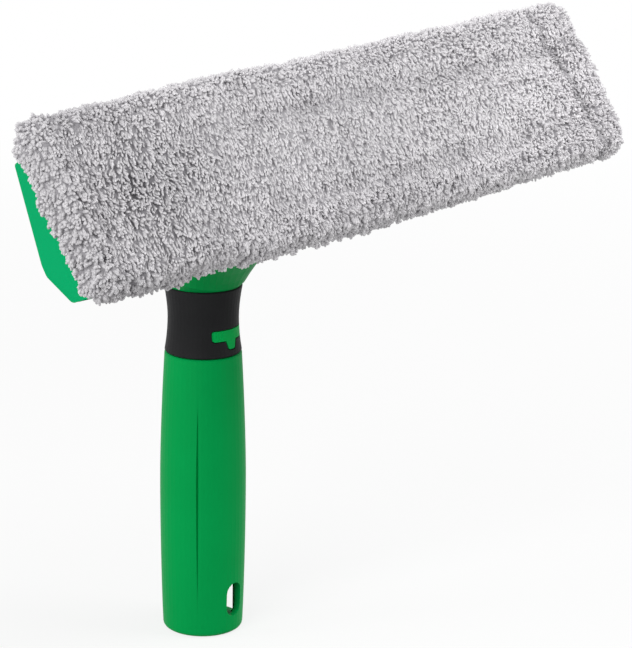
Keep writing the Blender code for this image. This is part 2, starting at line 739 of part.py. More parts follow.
def release_button(parent):
    """A slice of the collar's own surface in the shape of a T, on a flat inner flange."""
    low = STEM_TIP - 2.0 * SPARE
    high = BAR_TOP + 2.0 * SPARE
    reach = COLLAR_BOTTOM_RADIUS + 2.0 * SPARE
    outer = [(collar_radius(z), z) for z in stations(high, low, BUTTON_STATIONS)]
    profile = [(BUTTON_INNER, high)] + outer + [(BUTTON_INNER, low)]
    ring = turned("button_ring", profile, None, 2 * ROUND_STEPS, as_cutter=True, closed=True)
    face = prism_y("release_button", button_outline(0.0), -reach, -2.0 * SPARE)
    item = put("release_button", face, grip_green("button_green"), parent, parent.matrix_basis.inverted())
    boolean(item, ring, "INTERSECT")
    half = FLANGE_WIDTH / 2
    lowest = (-half, -FLANGE_FRONT, FLANGE_BOTTOM)
    flange = box_mesh("button_flange", lowest, (half, -FLANGE_BACK, FLANGE_TOP))
    return join(item, cutter("button_flange", flange))


# Neck, tang and latch

def neck_seat_matrix():
    """On the wedge's flat back, +Z pointing out of it and +Y down along it, in the head's frame."""
    along = Matrix.Translation((0.0, back_depth(NECK_SEAT_UP), NECK_SEAT_UP))
    return along @ Matrix.Rotation(-(math.pi / 2 - BACK_ANGLE), 4, "X")


def neck_ring(share, seat, wall=0.0):
    """One ring of the neck's skin, from the collar at 0 to the head's back at 1, moved in by a wall."""
    normal = (seat.to_3x3() @ Vector((0.0, 0.0, 1.0))).normalized()
    start = Vector((0.0, 0.0, COLLAR_TOP + GAP))
    end = seat.translation + normal * GAP
    pull = start + Vector((0.0, 0.0, NECK_RISE_PULL))
    lead = end + normal * NECK_SEAT_PULL
    rest = 1.0 - share
    centre = start * rest**3 + pull * 3 * rest**2 * share + lead * 3 * rest * share**2 + end * share**3
    slope = (pull - start) * rest**2 + (lead - pull) * 2 * rest * share + (end - lead) * share**2
    tangent = slope.normalized()
    across = Vector((0.0, tangent.z, -tangent.y))
    base = COLLAR_TOP_RADIUS - NECK_INSET
    ease = share * share * (3.0 - 2.0 * share)
    half_x = base + (NECK_SEAT_WIDTH / 2 - base) * share**NECK_FLARE - wall
    half_v = base + (NECK_SEAT_HEIGHT / 2 - base) * ease - wall
    power = 2.0 / (2.0 + (NECK_SQUARENESS - 2.0) * ease)
    ring = []
    for step in range(NECK_STEPS):
        angle = 2.0 * math.pi * step / NECK_STEPS
        cosine, sine = math.cos(angle), math.sin(angle)
        x = math.copysign(abs(cosine) ** power, cosine) * half_x
        v = math.copysign(abs(sine) ** power, sine) * half_v
        ring.append(centre + Vector((x, 0.0, 0.0)) + across * v)
    return ring


def neck_mesh(name, seat, start, count, wall, past=0.0):
    """A loft from a circle at the collar to a rounded oblong on the head's back, and past it."""
    normal = (seat.to_3x3() @ Vector((0.0, 0.0, 1.0))).normalized()

    def build(work):
        outlines = [neck_ring(share, seat, wall) for share in stations(start, 1.0, count)]
        if past:
            outlines.append([point - normal * past for point in outlines[-1]])
        rings = [[work.verts.new(point) for point in outline] for outline in outlines]
        for lower, upper in zip(rings, rings[1:]):
            for index, vertex in enumerate(lower):
                after = (index + 1) % len(lower)
                work.faces.new((vertex, lower[after], upper[after], upper[index]))
        bmesh.ops.triangulate(work, faces=work.faces)
        work.faces.new(rings[0][::-1])
        work.faces.new(rings[-1])

    return mesh_of(name, build)


def neck(parent, seat):
    skin = neck_mesh("neck", seat, 0.0, NECK_RINGS, 0.0)
    item = put("neck", skin, grip_green("neck_green"), parent, parent.matrix_basis.inverted())
    top = COLLAR_TOP + TANG_INTO_NECK
    tang = cutter("tang", rod_mesh("tang", TANG_RADIUS, TANG_END, top, TANG_STEPS))
    key_half = TANG_KEY_WIDTH / 2
    key_mesh = box_mesh(
        "tang_key",
        (-key_half, TANG_RADIUS - TANG_KEY_ROOT, TANG_END + SPARE),
        (key_half, TANG_RADIUS + TANG_KEY_DEPTH, top),
    )
    key = cutter("tang_key", key_mesh)
    hollow_mesh = neck_mesh("neck_hollow", seat, NECK_HOLLOW_START, NECK_HOLLOW_RINGS, NECK_WALL, MM)
    hollow = cutter("neck_hollow", hollow_mesh)
    for index, (x, y) in enumerate(neck_screw_places()):
        mesh = rod_mesh("neck_boss", NECK_BOSS_RADIUS, -NECK_BOSS_ROOT, NECK_BOSS_LENGTH)
        cut(hollow, cutter(f"neck_boss_{index + 1}", mesh, frame=seat @ Matrix.Translation((x, y, 0.0))))
    join(item, tang, key)
    cut(item, *latch_pocket_cutters(), *neck_screw_holes(seat), hollow)
    return item


def tongue_front():
    """Distance from the grip's axis to the tongue's front, so that its catch stops just behind the button."""
    return TANG_RADIUS - TONGUE_DEPTH


def tongue_root():
    return TANG_END + TONGUE_FOOT_RISE


def latch_pocket_cutters():
    half = TONGUE_WIDTH / 2 + GAP
    reach = TANG_RADIUS + SPARE
    root = tongue_root()
    seat = tongue_front() - TONGUE_THICKNESS - GAP
    top = root + TONGUE_LENGTH + SPARE
    shallow = box_mesh("tongue_pocket", (-half, -reach, TANG_END - SPARE), (half, -seat, top))
    deep = box_mesh(
        "tongue_room",
        (-half - HAIR, -reach, root + TONGUE_ROOT_LENGTH),
        (half + HAIR, -seat + TONGUE_FLEX_ROOM, root + TONGUE_LENGTH + 1.5 * SPARE),
    )
    hole = rod_mesh("latch_pilot", LATCH_SCREW_RADIUS + GAP, -LATCH_SCREW_LENGTH, 2.0 * SPARE)
    frame = Matrix.Translation((0.0, -seat, root + TONGUE_ROOT_LENGTH / 2)) @ FACING_FRONT
    return (
        cutter("tongue_pocket", shallow),
        cutter("tongue_room", deep),
        cutter("latch_pilot", hole, frame=frame),
    )


def latch_tongue(parent):
    front = tongue_front()
    back = front - TONGUE_THICKNESS
    root = tongue_root()
    catch_face = FLANGE_BACK - GAP
    catch_top = FLANGE_TOP - GAP
    catch_low = catch_top - CATCH_LENGTH
    outline = [
        (-back, root),
        (-back, root + TONGUE_LENGTH),
        (-front, root + TONGUE_LENGTH),
        (-front, catch_top),
        (-catch_face, catch_top),
        (-catch_face, catch_low),
        (-front, catch_low - CATCH_RAMP),
        (-front, root),
    ]
    mesh = prism_x("latch_tongue", outline, -TONGUE_WIDTH / 2, TONGUE_WIDTH / 2)
    finish = material("tongue_plastic", (0.55, 0.56, 0.55), 0.45)
    item = put("latch_tongue", mesh, finish, parent, parent.matrix_basis.inverted())
    reach = TONGUE_THICKNESS + SPARE
    hole = rod_mesh("tongue_hole", LATCH_SCREW_RADIUS + GAP, -reach, SPARE)
    frame = Matrix.Translation((0.0, -front, root + TONGUE_ROOT_LENGTH / 2)) @ FACING_FRONT
    cut(item, cutter("tongue_hole", hole, frame=frame))
    profile = screw_profile(
        LATCH_SCREW_HEAD_RADIUS, LATCH_SCREW_HEAD_HEIGHT, LATCH_SCREW_RADIUS, LATCH_SCREW_LENGTH, False
    )
    place = Matrix.Translation((0.0, -front - GAP, root + TONGUE_ROOT_LENGTH / 2)) @ FACING_FRONT
    place = parent.matrix_basis.inverted() @ place
    turned("latch_screw", profile, steel("latch_screw_steel"), SMALL_STEPS, parent, place)
    return item


def neck_screw_places():
    half_x = NECK_SCREW_SPREAD_X / 2
    half_up = NECK_SCREW_SPREAD_UP / 2
    return [(x, y) for y in (-half_up, half_up) for x in (-half_x, half_x)]


def neck_screw_holes(seat):
    """Pilot holes in the neck, entered from the head's back."""
    depth = NECK_SCREW_LENGTH - SHELL_WALL + SPARE
    tools = []
    for index, (x, y) in enumerate(neck_screw_places()):
        mesh = rod_mesh("neck_pilot", NECK_SCREW_RADIUS + GAP, -SPARE, depth)
        frame = seat @ Matrix.Translation((x, y, 0.0))
        tools.append(cutter(f"neck_pilot_{index + 1}", mesh, frame=frame))
    return tools


def neck_screws(parent):
    """Screws from inside the shell, through its back wall, into the neck. Their heads lie inside."""
    profile = screw_profile(
        NECK_SCREW_HEAD_RADIUS, NECK_SCREW_HEAD_HEIGHT, NECK_SCREW_RADIUS, NECK_SCREW_LENGTH, False
    )
    flip = Matrix.Rotation(math.pi, 4, "X")
    seat = neck_seat_matrix()
    frames = [
        seat @ Matrix.Translation((x, y, -SHELL_WALL - GAP)) @ flip for x, y in neck_screw_places()
    ]
    names = [f"neck_screw_{index + 1}" for index in range(len(frames))]
    make_screws(names, profile, steel("neck_screw_steel"), frames, parent)


# Head

def wedge_corners(front, top, tip_radius):
    """Corners (depth, up, radius) of the wedge's outline, from its front top round its back."""
    return [
        (front, top, 0.0),
        (back_depth(top), top, tip_radius),
        (back_depth(-WEDGE_LOW), -WEDGE_LOW, WEDGE_LOW_RADIUS),
        (KNEE_DEPTH, KNEE_UP, KNEE_RADIUS),
        (KNEE_DEPTH - CHAMFER_DEPTH, CHAMFER_FOOT_UP, CHAMFER_RADIUS),
        (front, -WEDGE_BOTTOM, 0.0),
    ]


def boss_end(up):
    """Depth at which a boss ends, halfway through the shell's back or chamfer."""
    outer = back_depth(up + BOSS_RADIUS)
    low = up - BOSS_RADIUS
    if low < KNEE_UP:
        outer = KNEE_DEPTH - CHAMFER_DEPTH * (KNEE_UP - low) / (KNEE_UP - CHAMFER_FOOT_UP)
    return outer - SHELL_WALL * BOSS_BITE


def screw_rows():
    """(x, up, shank length) of each plate screw: five in each row, the outer ones in the end caps."""
    columns = (-CAP_SCREW_X, -INNER_SCREW_X, 0.0, INNER_SCREW_X, CAP_SCREW_X)
    upper = [(x, UPPER_SCREW_UP, UPPER_SCREW_LENGTH) for x in columns]
    lower = [(x, LOWER_SCREW_UP, LOWER_SCREW_LENGTH) for x in columns]
    return upper + lower


def head_shell(parent):
    outline = rounded(wedge_corners(SHELL_FRONT - SPARE, SHELL_TOP, SHELL_TIP_RADIUS))
    strip = outline_mesh("head_shell", outline, 2.0 * SHELL_HALF, closed=False)
    strip.transform(ALONG_X)
    item = put("head_shell", strip, grip_green("shell_green"), parent)
    wall = item.modifiers.new("wall", "SOLIDIFY")
    wall.thickness = SHELL_WALL
    wall.offset = -1.0
    wall.use_even_offset = True
    trim = box_mesh(
        "front_trim",
        (-SHELL_HALF - SPARE, SHELL_FRONT - FRONT_TRIM, -WEDGE_BOTTOM - FRONT_TRIM),
        (SHELL_HALF + SPARE, SHELL_FRONT, WEDGE_TOP + FRONT_TRIM),
    )
    legs = box_mesh(
        "leg_room",
        (-SHELL_HALF - SPARE, SHELL_FRONT - SPARE, CHANNEL_LEG_END - LEG_ROOM),
        (SHELL_HALF + SPARE, LEG_BACK + GAP, SHELL_TOP + SPARE),
    )
    bosses = []
    pilots = []
    for index, (x, up, length) in enumerate(screw_rows()):
        if abs(x) > SHELL_HALF:
            continue
        front = LEG_BACK + GAP if up > 0.0 else SHELL_FRONT
        frame = head_matrix(x, 0.0, up) @ INTO_HEAD
        boss = rod_mesh("boss", BOSS_RADIUS, front, boss_end(up))
        bosses.append(cutter(f"boss_{index}", boss, parent, frame))
        end = min(PLATE_FRONT + length + SPARE, boss_end(up) - GAP)
        pilot = rod_mesh("boss_pilot", PLATE_SCREW_RADIUS + GAP, front - SPARE, end)
        pilots.append(cutter(f"boss_pilot_{index}", pilot, parent, frame))
    holes = []
    for index, (x, y) in enumerate(neck_screw_places()):
        mesh = rod_mesh("neck_hole", NECK_SCREW_RADIUS + GAP, -SHELL_WALL - SPARE, SPARE)
        frame = neck_seat_matrix() @ Matrix.Translation((x, y, 0.0))
        holes.append(cutter(f"neck_hole_{index + 1}", mesh, parent, frame))
    cut(item, cutter("front_trim", trim, parent), cutter("leg_room", legs, parent))
    join(item, *bosses)
    return cut(item, *pilots, *holes)


def end_cap(name, side, parent):
    """A wedge-shaped flange over the head's end, with a block behind the plate and a lug inside the shell."""
    flange_outline = rounded(wedge_corners(PLATE_FRONT, WEDGE_TOP, CAP_TIP_RADIUS))
    block_outline = rounded(wedge_corners(SHELL_FRONT, WEDGE_TOP, CAP_TIP_RADIUS))
    start = WEDGE_HALF - CAP_FLANGE
    flange = prism_x(name, flange_outline, start, WEDGE_HALF)
    block = prism_x("cap_block", block_outline, CAP_BLOCK_END, start + SPARE)
    lug_back = back_depth(CAP_LUG_HEIGHT / 2) - SHELL_WALL - 2.0 * GAP
    lug = box_mesh(
        "cap_lug",
        (CAP_BLOCK_END - CAP_LUG_LENGTH, lug_back - CAP_LUG_THICKNESS, -CAP_LUG_HEIGHT / 2),
        (CAP_BLOCK_END + SPARE, lug_back, CAP_LUG_HEIGHT / 2),
    )
    mirror = Matrix.Diagonal((side, 1.0, 1.0, 1.0))
    for mesh in (flange, block, lug):
        mesh.transform(mirror)
        if side < 0:
            mesh.flip_normals()
    item = put(name, flange, grip_green("cap_green"), parent)
    join(item, cutter(name + "_block", block, parent), cutter(name + "_lug", lug, parent))
    for row, (x, up, length) in enumerate(screw_rows()):
        if abs(x) < SHELL_HALF or x * side < 0:
            continue
        end = PLATE_FRONT + length + SPARE
        pilot = rod_mesh("cap_pilot", PLATE_SCREW_RADIUS + GAP, PLATE_BACK - SPARE, end)
        cut(item, cutter(f"{name}_pilot_{row}", pilot, parent, head_matrix(x, 0.0, up) @ INTO_HEAD))
    return item


def pad_plate(parent):
    half = WEDGE_HALF - CAP_FLANGE - GAP
    low = (-half, PLATE_FRONT, -WEDGE_BOTTOM)
    high = (half, PLATE_BACK, WEDGE_TOP)
    item = put("pad_plate", box_mesh("pad_plate", low, high), grip_green("plate_green"), parent)
    for index, (x, up, _) in enumerate(screw_rows()):
        frame = head_matrix(x, PLATE_FRONT, up) @ INTO_HEAD
        hole = [
            (0.0, PLATE_THICKNESS + SPARE),
            (PLATE_SCREW_RADIUS + GAP, PLATE_THICKNESS + SPARE),
            (PLATE_SCREW_RADIUS + GAP, PLATE_SCREW_HEAD_HEIGHT + 2.0 * GAP),
            (PLATE_SCREW_HEAD_RADIUS + GAP, GAP),
            (PLATE_SCREW_HEAD_RADIUS + GAP, -SPARE),
            (0.0, -SPARE),
        ]
        cut(item, turned(f"plate_hole_{index}", hole, None, SMALL_STEPS, parent, frame, as_cutter=True))
    return item


def plate_screws(parent):
    for row in (0, 1):
        places = screw_rows()[row * 5 : row * 5 + 5]
        length = places[0][2] - GAP - PLATE_SCREW_HEAD_HEIGHT
        profile = screw_profile(
            PLATE_SCREW_HEAD_RADIUS, PLATE_SCREW_HEAD_HEIGHT, PLATE_SCREW_RADIUS, length, True
        )
        depth = PLATE_FRONT + GAP + PLATE_SCREW_HEAD_HEIGHT
        frames = [head_matrix(x, depth, up) @ FACING_FRONT for x, up, _ in places]
        names = [f"plate_screw_{row * 5 + index + 1}" for index in range(5)]
        make_screws(names, profile, steel("plate_screw_steel"), frames, parent)


def strip(name, centre_up, height, parent):
    low = (-STRIP_LENGTH / 2, STRIP_FRONT, centre_up - height / 2)
    high = (STRIP_LENGTH / 2, STRIP_FRONT + STRIP_THICKNESS, centre_up + height / 2)
    return put(name, box_mesh(name, low, high), material("hook_tape", (0.30, 0.31, 0.32), 0.85), parent)


def hook_strips(parent):
    """Between and outside the two rows of screws."""
    clear = PLATE_SCREW_HEAD_RADIUS + STRIP_CLEARANCE
    upper = UPPER_SCREW_UP + clear + UPPER_STRIP_HEIGHT / 2
    lower = LOWER_SCREW_UP - clear - LOWER_STRIP_HEIGHT / 2
    middle = (MIDDLE_STRIP_LOW + MIDDLE_STRIP_HIGH) / 2
    strip("hook_strip_upper", upper, UPPER_STRIP_HEIGHT, parent)
    strip("hook_strip_middle", middle, MIDDLE_STRIP_HIGH - MIDDLE_STRIP_LOW, parent)
    strip("hook_strip_lower", lower, LOWER_STRIP_HEIGHT, parent)


# Squeegee

def channel_outline():
    """The channel's section in (depth, up): a leg behind the plate, a base and two lipped sides."""
    front = CHANNEL_FRONT
    back = CHANNEL_FRONT + CHANNEL_WIDTH
    middle = CHANNEL_MIDDLE
    floor = CHANNEL_BASE_UP + CHANNEL_BASE
    shoulder = CHANNEL_TOP - CHANNEL_LIP
    mouth = CHANNEL_MOUTH / 2
    return [
        (front, CHANNEL_LEG_END),
        (LEG_BACK, CHANNEL_LEG_END),
        (LEG_BACK, CHANNEL_BASE_UP),
        (back, CHANNEL_BASE_UP),
        (back, CHANNEL_TOP),
        (middle + mouth, CHANNEL_TOP),
        (middle + mouth, shoulder),
        (back - CHANNEL_SIDE, shoulder),
        (back - CHANNEL_SIDE, floor),
        (front + CHANNEL_SIDE, floor),
        (front + CHANNEL_SIDE, shoulder),
        (middle - mouth, shoulder),
        (middle - mouth, CHANNEL_TOP),
        (front, CHANNEL_TOP),
    ]


def blade_channel(parent):
    mesh = prism_x("blade_channel", channel_outline(), -SHELL_HALF, SHELL_HALF)
    item = put("blade_channel", mesh, material("channel_aluminium", (0.62, 0.63, 0.65), 0.34, 1.0), parent)
    for index, (x, up, _) in enumerate(screw_rows()[:5]):
        if abs(x) > SHELL_HALF:
            continue
        hole = rod_mesh("leg_hole", PLATE_SCREW_RADIUS + GAP, CHANNEL_FRONT - SPARE, LEG_BACK + SPARE)
        cut(item, cutter(f"leg_hole_{index}", hole, parent, head_matrix(x, 0.0, up) @ INTO_HEAD))
    return item


def rubber_blade(parent):
    half = SHELL_HALF - CLIP_LENGTH - GAP
    bead = CHANNEL_WIDTH / 2 - CHANNEL_SIDE - GAP
    floor = CHANNEL_BASE_UP + CHANNEL_BASE + GAP
    shoulder = CHANNEL_TOP - CHANNEL_LIP - GAP
    web = RUBBER_WEB / 2
    lip = RUBBER_LIP / 2
    tip = RUBBER_TIP / 2
    base = CHANNEL_TOP + GAP
    left = [
        (-bead, floor),
        (-bead, shoulder),
        (-web, shoulder),
        (-web, base),
        (-lip, base),
        (-tip, base + RUBBER_REACH),
    ]
    right = [(-depth, up) for depth, up in reversed(left)]
    outline = [(CHANNEL_MIDDLE + depth, up) for depth, up in left + right]
    mesh = prism_x("rubber_blade", outline, -half, half)
    return put("rubber_blade", mesh, material("blade_rubber", (0.018, 0.018, 0.018), 0.55), parent)


def blade_clip(name, side, parent):
    """A stop in the channel's end, with a cap over its two lips."""
    bead = CHANNEL_WIDTH / 2 - CHANNEL_SIDE - GAP
    mouth = CHANNEL_MOUTH / 2 - GAP
    cap = CHANNEL_WIDTH / 2
    floor = CHANNEL_BASE_UP + CHANNEL_BASE + GAP
    shoulder = CHANNEL_TOP - CHANNEL_LIP - GAP
    base = CHANNEL_TOP + GAP
    right = [
        (bead, floor),
        (bead, shoulder),
        (mouth, shoulder),
        (mouth, base),
        (cap, base),
        (cap, base + CLIP_TOP_THICKNESS),
    ]
    left = [(-depth, up) for depth, up in reversed(right)]
    outline = [(CHANNEL_MIDDLE + depth, up) for depth, up in right + left]
    ends = sorted((side * (SHELL_HALF - CLIP_LENGTH), side * SHELL_HALF))
    mesh = prism_x(name, outline, *ends)
    return put(name, mesh, material("clip_black", (0.03, 0.03, 0.032), 0.5), parent)


# Scrubber pad

def pad_backing(parent):
    outline = rounded_box(BACKING_LENGTH, BACKING_HEIGHT, BACKING_CORNER)
    mesh = prism_y("pad_backing", outline, BACKING_DEPTH, BACKING_DEPTH + BACKING_THICKNESS)
    return put("pad_backing", mesh, material("backing_fabric", (0.42, 0.42, 0.43), 0.9), parent)


def in_corner(x, up, half_x, half_up):
    """Moves a place on the pad's sheet so that the sheet's square corners become round."""
    core_x, core_up = half_x - PAD_CORNER, half_up - PAD_CORNER
    past_x = (abs(x) - core_x) / PAD_CORNER
    past_up = (abs(up) - core_up) / PAD_CORNER
    if past_x <= 0.0 or past_up <= 0.0:
        return abs(x), abs(up)
    round_x = core_x + PAD_CORNER * past_x * math.sqrt(1.0 - past_up**2 / 2.0)
    round_up = core_up + PAD_CORNER * past_up * math.sqrt(1.0 - past_x**2 / 2.0)
    return round_x, round_up


def mirrored(values):
    """Sorted stations on both sides of the middle."""
    return sorted({-value for value in values} | {0.0} | set(values))


def pad_form(work):
    """A cushion cage: crowned at the front, its corners rounded and its sides drawn in towards the back."""
    half_x = PAD_LENGTH / 2 + PAD_CAGE_SPARE
    half_up = PAD_HEIGHT / 2 + PAD_CAGE_SPARE
    step = PAD_CORNER * PAD_CORNER_SHARE
    columns_x = [share * half_x for share in PAD_COLUMNS]
    across = mirrored([half_x, half_x - step, half_x - PAD_CORNER, *columns_x])
    upward = mirrored([half_up, half_up - step, half_up - PAD_CORNER, PAD_ROW * half_up])
    columns, rows = len(across) - 1, len(upward) - 1
    for depth, draw in zip(PAD_LAYERS, PAD_LAYER_DRAW):
        for up in upward:
            for x in across:
                place_x, place_up = in_corner(x, up, half_x, half_up)
                if abs(x) == half_x:
                    place_x -= PAD_DRAW_IN * draw
                if abs(up) == half_up:
                    place_up -= PAD_DRAW_IN * draw
                y = depth
                if depth == 0.0:
                    y += PAD_CROWN * ((up / half_up) ** PAD_CROWN_CURVE + (x / half_x) ** PAD_END_CURVE)
                work.verts.new((math.copysign(place_x, x), y, math.copysign(place_up, up)))
    work.verts.ensure_lookup_table()
    width = columns + 1
    sheet = width * (rows + 1)
    last = (len(PAD_LAYERS) - 1) * sheet

    def face(*indices):
        work.faces.new([work.verts[index] for index in indices])

    for row in range(rows):
        for column in range(columns):
            here = row * width + column
            face(here, here + 1, here + 1 + width, here + width)
            face(last + here, last + here + width, last + here + 1 + width, last + here + 1)
    rim = list(range(columns))
    rim += [row * width + columns for row in range(rows)]
    rim += [rows * width + columns - column for column in range(columns)]
    rim += [(rows - row) * width for row in range(rows)]
    for layer in range(len(PAD_LAYERS) - 1):
        base = layer * sheet
        for index, vertex in enumerate(rim):
            after = rim[(index + 1) % len(rim)]
            face(base + vertex, base + after, base + sheet + after, base + sheet + vertex)
    loose = [vertex for vertex in work.verts if not vertex.link_faces]
    bmesh.ops.delete(work, geom=loose, context="VERTS")


def scrubber_pad(parent):
    mesh = mesh_of("scrubber_pad", pad_form)
    item = put("scrubber_pad", mesh, material("microfibre_grey", (0.46, 0.455, 0.47), 0.95), parent)
    soft = item.modifiers.new("soft", "SUBSURF")
    soft.levels = 1
    soft.render_levels = 1
    half_x = BACKING_LENGTH / 2 + GAP
    half_up = BACKING_HEIGHT / 2 + GAP
    recess = box_mesh(
        "pad_recess", (-half_x, BACKING_DEPTH - GAP, -half_up), (half_x, PAD_THICKNESS + 2.0 * SPARE, half_up)
    )
    return cut(item, cutter("pad_recess", recess, parent))


def build():
    """Makes every piece. The empties stand where the moving bodies are carried."""
    grip_shell()
    handle_core()
    core_fasteners()
    collar_sleeve()
    button_height = (BAR_BOTTOM + BAR_TOP) / 2
    button_axis = empty("button_axis", Matrix.Translation((0.0, -COLLAR_WAIST_RADIUS, button_height)))
    release_button(button_axis)
    pull_axis = empty("head_pull_axis", Matrix.Translation((0.0, 0.0, COLLAR_TOP)))
    neck(pull_axis, HEAD_FRAME @ neck_seat_matrix())
    latch_tongue(pull_axis)
    head = empty("head_frame", HEAD_FRAME)
    neck_screws(head)
    head_shell(head)
    end_cap("end_cap_left", -1.0, head)
    end_cap("end_cap_right", 1.0, head)
    pad_plate(head)
    plate_screws(head)
    hook_strips(head)
    blade_channel(head)
    rubber_blade(head)
    blade_clip("blade_clip_left", -1.0, head)
    blade_clip("blade_clip_right", 1.0, head)
    peel_axis = empty("pad_peel_axis", HEAD_FRAME)
    pad_backing(peel_axis)
    scrubber_pad(peel_axis)
    bpy.context.view_layer.update()


build()
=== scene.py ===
import json
import math
from itertools import product

import bmesh
import bpy
import numpy as np
from mathutils import Matrix, Vector
from mathutils.kdtree import KDTree


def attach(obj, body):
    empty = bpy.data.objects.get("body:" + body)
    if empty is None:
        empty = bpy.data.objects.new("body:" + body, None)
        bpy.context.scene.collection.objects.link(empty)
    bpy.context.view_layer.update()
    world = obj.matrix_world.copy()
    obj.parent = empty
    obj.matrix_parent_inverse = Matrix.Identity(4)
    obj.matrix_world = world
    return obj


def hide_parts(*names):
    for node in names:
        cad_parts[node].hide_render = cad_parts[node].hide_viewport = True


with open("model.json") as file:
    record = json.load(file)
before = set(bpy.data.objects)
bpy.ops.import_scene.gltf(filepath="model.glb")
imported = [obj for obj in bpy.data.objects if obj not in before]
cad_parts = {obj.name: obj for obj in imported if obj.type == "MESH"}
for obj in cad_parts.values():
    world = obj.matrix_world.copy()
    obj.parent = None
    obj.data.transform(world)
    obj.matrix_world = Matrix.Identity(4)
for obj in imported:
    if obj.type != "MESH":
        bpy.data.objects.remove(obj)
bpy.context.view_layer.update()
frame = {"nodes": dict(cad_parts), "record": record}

MM = 0.001

# Place of the head: depth runs back from the middle of the pad's front face, and up runs along it
HEAD_ORIGIN = Vector((0.0, -87.6 * MM, 238.9 * MM))
HEAD_TILT = math.radians(33.5)
HEAD = Matrix.Translation(HEAD_ORIGIN) @ Matrix.Rotation(-HEAD_TILT, 4, "X")

# Relief of the materials
GRAIN_DEPTH = 0.12 * MM
METAL_DEPTH = 0.05 * MM
THREAD_DEPTH = 0.4 * MM
FIBRE_DEPTH = 0.1 * MM

METAL_LINES = 0.86  # tone of a metal's fine lines
WAVE_BANDS = 3.0  # bands a metre that a wave texture draws at scale 1

# Painted shade line past the ends of each thumb groove, where the groove itself has run out: its angle
# from the front, half width, place and darkness
GROOVE_ANGLE = math.radians(57.5)
GROOVE_LINE = math.radians(1.3)
GROOVE_MIDDLE = 61.0 * MM
GROOVE_HALF = 52.0 * MM
GROOVE_FADE = 14.0 * MM
GROOVE_SHADE = 0.16

# Ribs of the button: pitch, distance of the first from the middle, and over how far they gain their depth
RIB_PITCH = 1.1 * MM
RIB_START = 4.4 * MM
RIB_RISE = 0.2 * MM
RIB_STRENGTH = 0.5
RIB_DEPTH = 0.12 * MM

# Pad skin under the pile, in the head's frame: half sizes, rounds of its left and right corners, faces
PAD_HALF_X = 178.6 * MM
PAD_HALF_UP = 36.8 * MM
PAD_CORNERS = (11.5 * MM, 8.0 * MM)
PAD_COLUMNS = 300
PAD_ROWS = 64

# Its front: depth at the middle, crown, width of the rolled edge and how deep the roll is for its width
PAD_FRONT = 1.2 * MM
PAD_CROWN = 1.0 * MM
PAD_EDGE = 7.0 * MM
PAD_EDGE_ROLL = 0.8

# Its sides, layer by layer (share of the way back to PAD_SIDE_BACK, how far the layer is drawn in)
PAD_SIDE_BACK = 12.5 * MM
PAD_BACK = 16.0 * MM
SIDE_LAYERS = (
    (0.3, -0.6 * MM),
    (0.6, -0.8 * MM),
    (0.9, -0.6 * MM),
    (1.1, 0.2 * MM),
    (1.24, 1.8 * MM),
    (1.30, 3.4 * MM),
)
SIDE_UNEVEN = 0.6  # share of the front's unevenness

# The hollow in its back, which the backing fills. It carries no pile
RECESS_HALF_X = 168.3 * MM
RECESS_HALF_UP = 30.3 * MM
RECESS_DEPTH = 13.5 * MM
RECESS_CLEAR = 1.0 * MM  # it counts as the hollow from this far in front of its bottom
RIM_CLEAR = 0.3 * MM  # no tuft starts this close to the hollow or to the flat back

# The head's plate and end caps lie behind this depth, within these bounds. No tuft reaches in there
PLATE_DEPTH = 16.8 * MM
PLATE_HALF_X = 169.4 * MM
PLATE_UP = (-30.7 * MM, 28.6 * MM)

# Unevenness of the skin: height of each kind, and the smallest and the largest of its waves
LUMP = 0.32 * MM
LUMP_SIZES = (3.4 * MM, 8.0 * MM)
KNOB = 1.1 * MM
KNOB_SIZES = (4.2 * MM, 6.2 * MM)
RIPPLE = 0.4 * MM
RIPPLE_SIZES = (18.0 * MM, 50.0 * MM)
LUMP_WAVES = 40
RIPPLE_WAVES = 16

# Width of the border, and how the share of its knobs falls from the left end to the right
BORDER = 15.0 * MM
KNOBS_BOTTOM = 0.5  # what the bottom counts against the left end
KNOBS_OFF = 0.1  # what is taken off both together
KNOBS_LEAST = 0.35  # and the least that is left

# Creases across the ends of the skin (place, slant, half width, depth)
END_CREASES = (
    (-163.0 * MM, 0.0, 3.6 * MM, 1.0 * MM),
    (157.0 * MM, -0.16, 2.4 * MM, 4.0 * MM),
)

# Creases along the skin (place, half width, depth)
LONG_CREASES = (
    (30.5 * MM, 3.0 * MM, 0.5 * MM),
    (17.0 * MM, 4.2 * MM, 1.2 * MM),
    (-19.5 * MM, 4.0 * MM, 1.0 * MM),
    (-30.0 * MM, 2.6 * MM, 0.9 * MM),
)
LONG_CREASES_FADE = (-95.0 * MM, -35.0 * MM)  # the long creases gain their depth from here to here
LONG_CREASES_LEFT = 0.2  # and have this share of it left of that
CREASE_STEP = 0.5 * MM  # a slope is taken this far to both sides
CREASE_FULL = 2.5 * MM  # a crease as deep as this is fully dark

# Waves of an end crease (share, radians for a metre, phase): how it wanders, and how its depth changes
CREASE_WANDER = 0.9 * MM
CREASE_WANDER_WAVES = ((1.0, 170.0, 0.6), (0.6, 410.0, 2.0))
CREASE_DEPTH_EVEN = 0.72
CREASE_DEPTH_WAVE = (0.28, 260.0, 4.0)

# How far the right end reaches past the left end's length, and its lower corner past that
RIGHT_REACH = 2.3 * MM
CORNER_REACH = 1.6 * MM

# How far the bottom edge is drawn up at the left end. This falls to nothing over the range
LEFT_RISE = 2.5 * MM
LEFT_RISE_RANGE = (-114.0 * MM, -70.0 * MM)

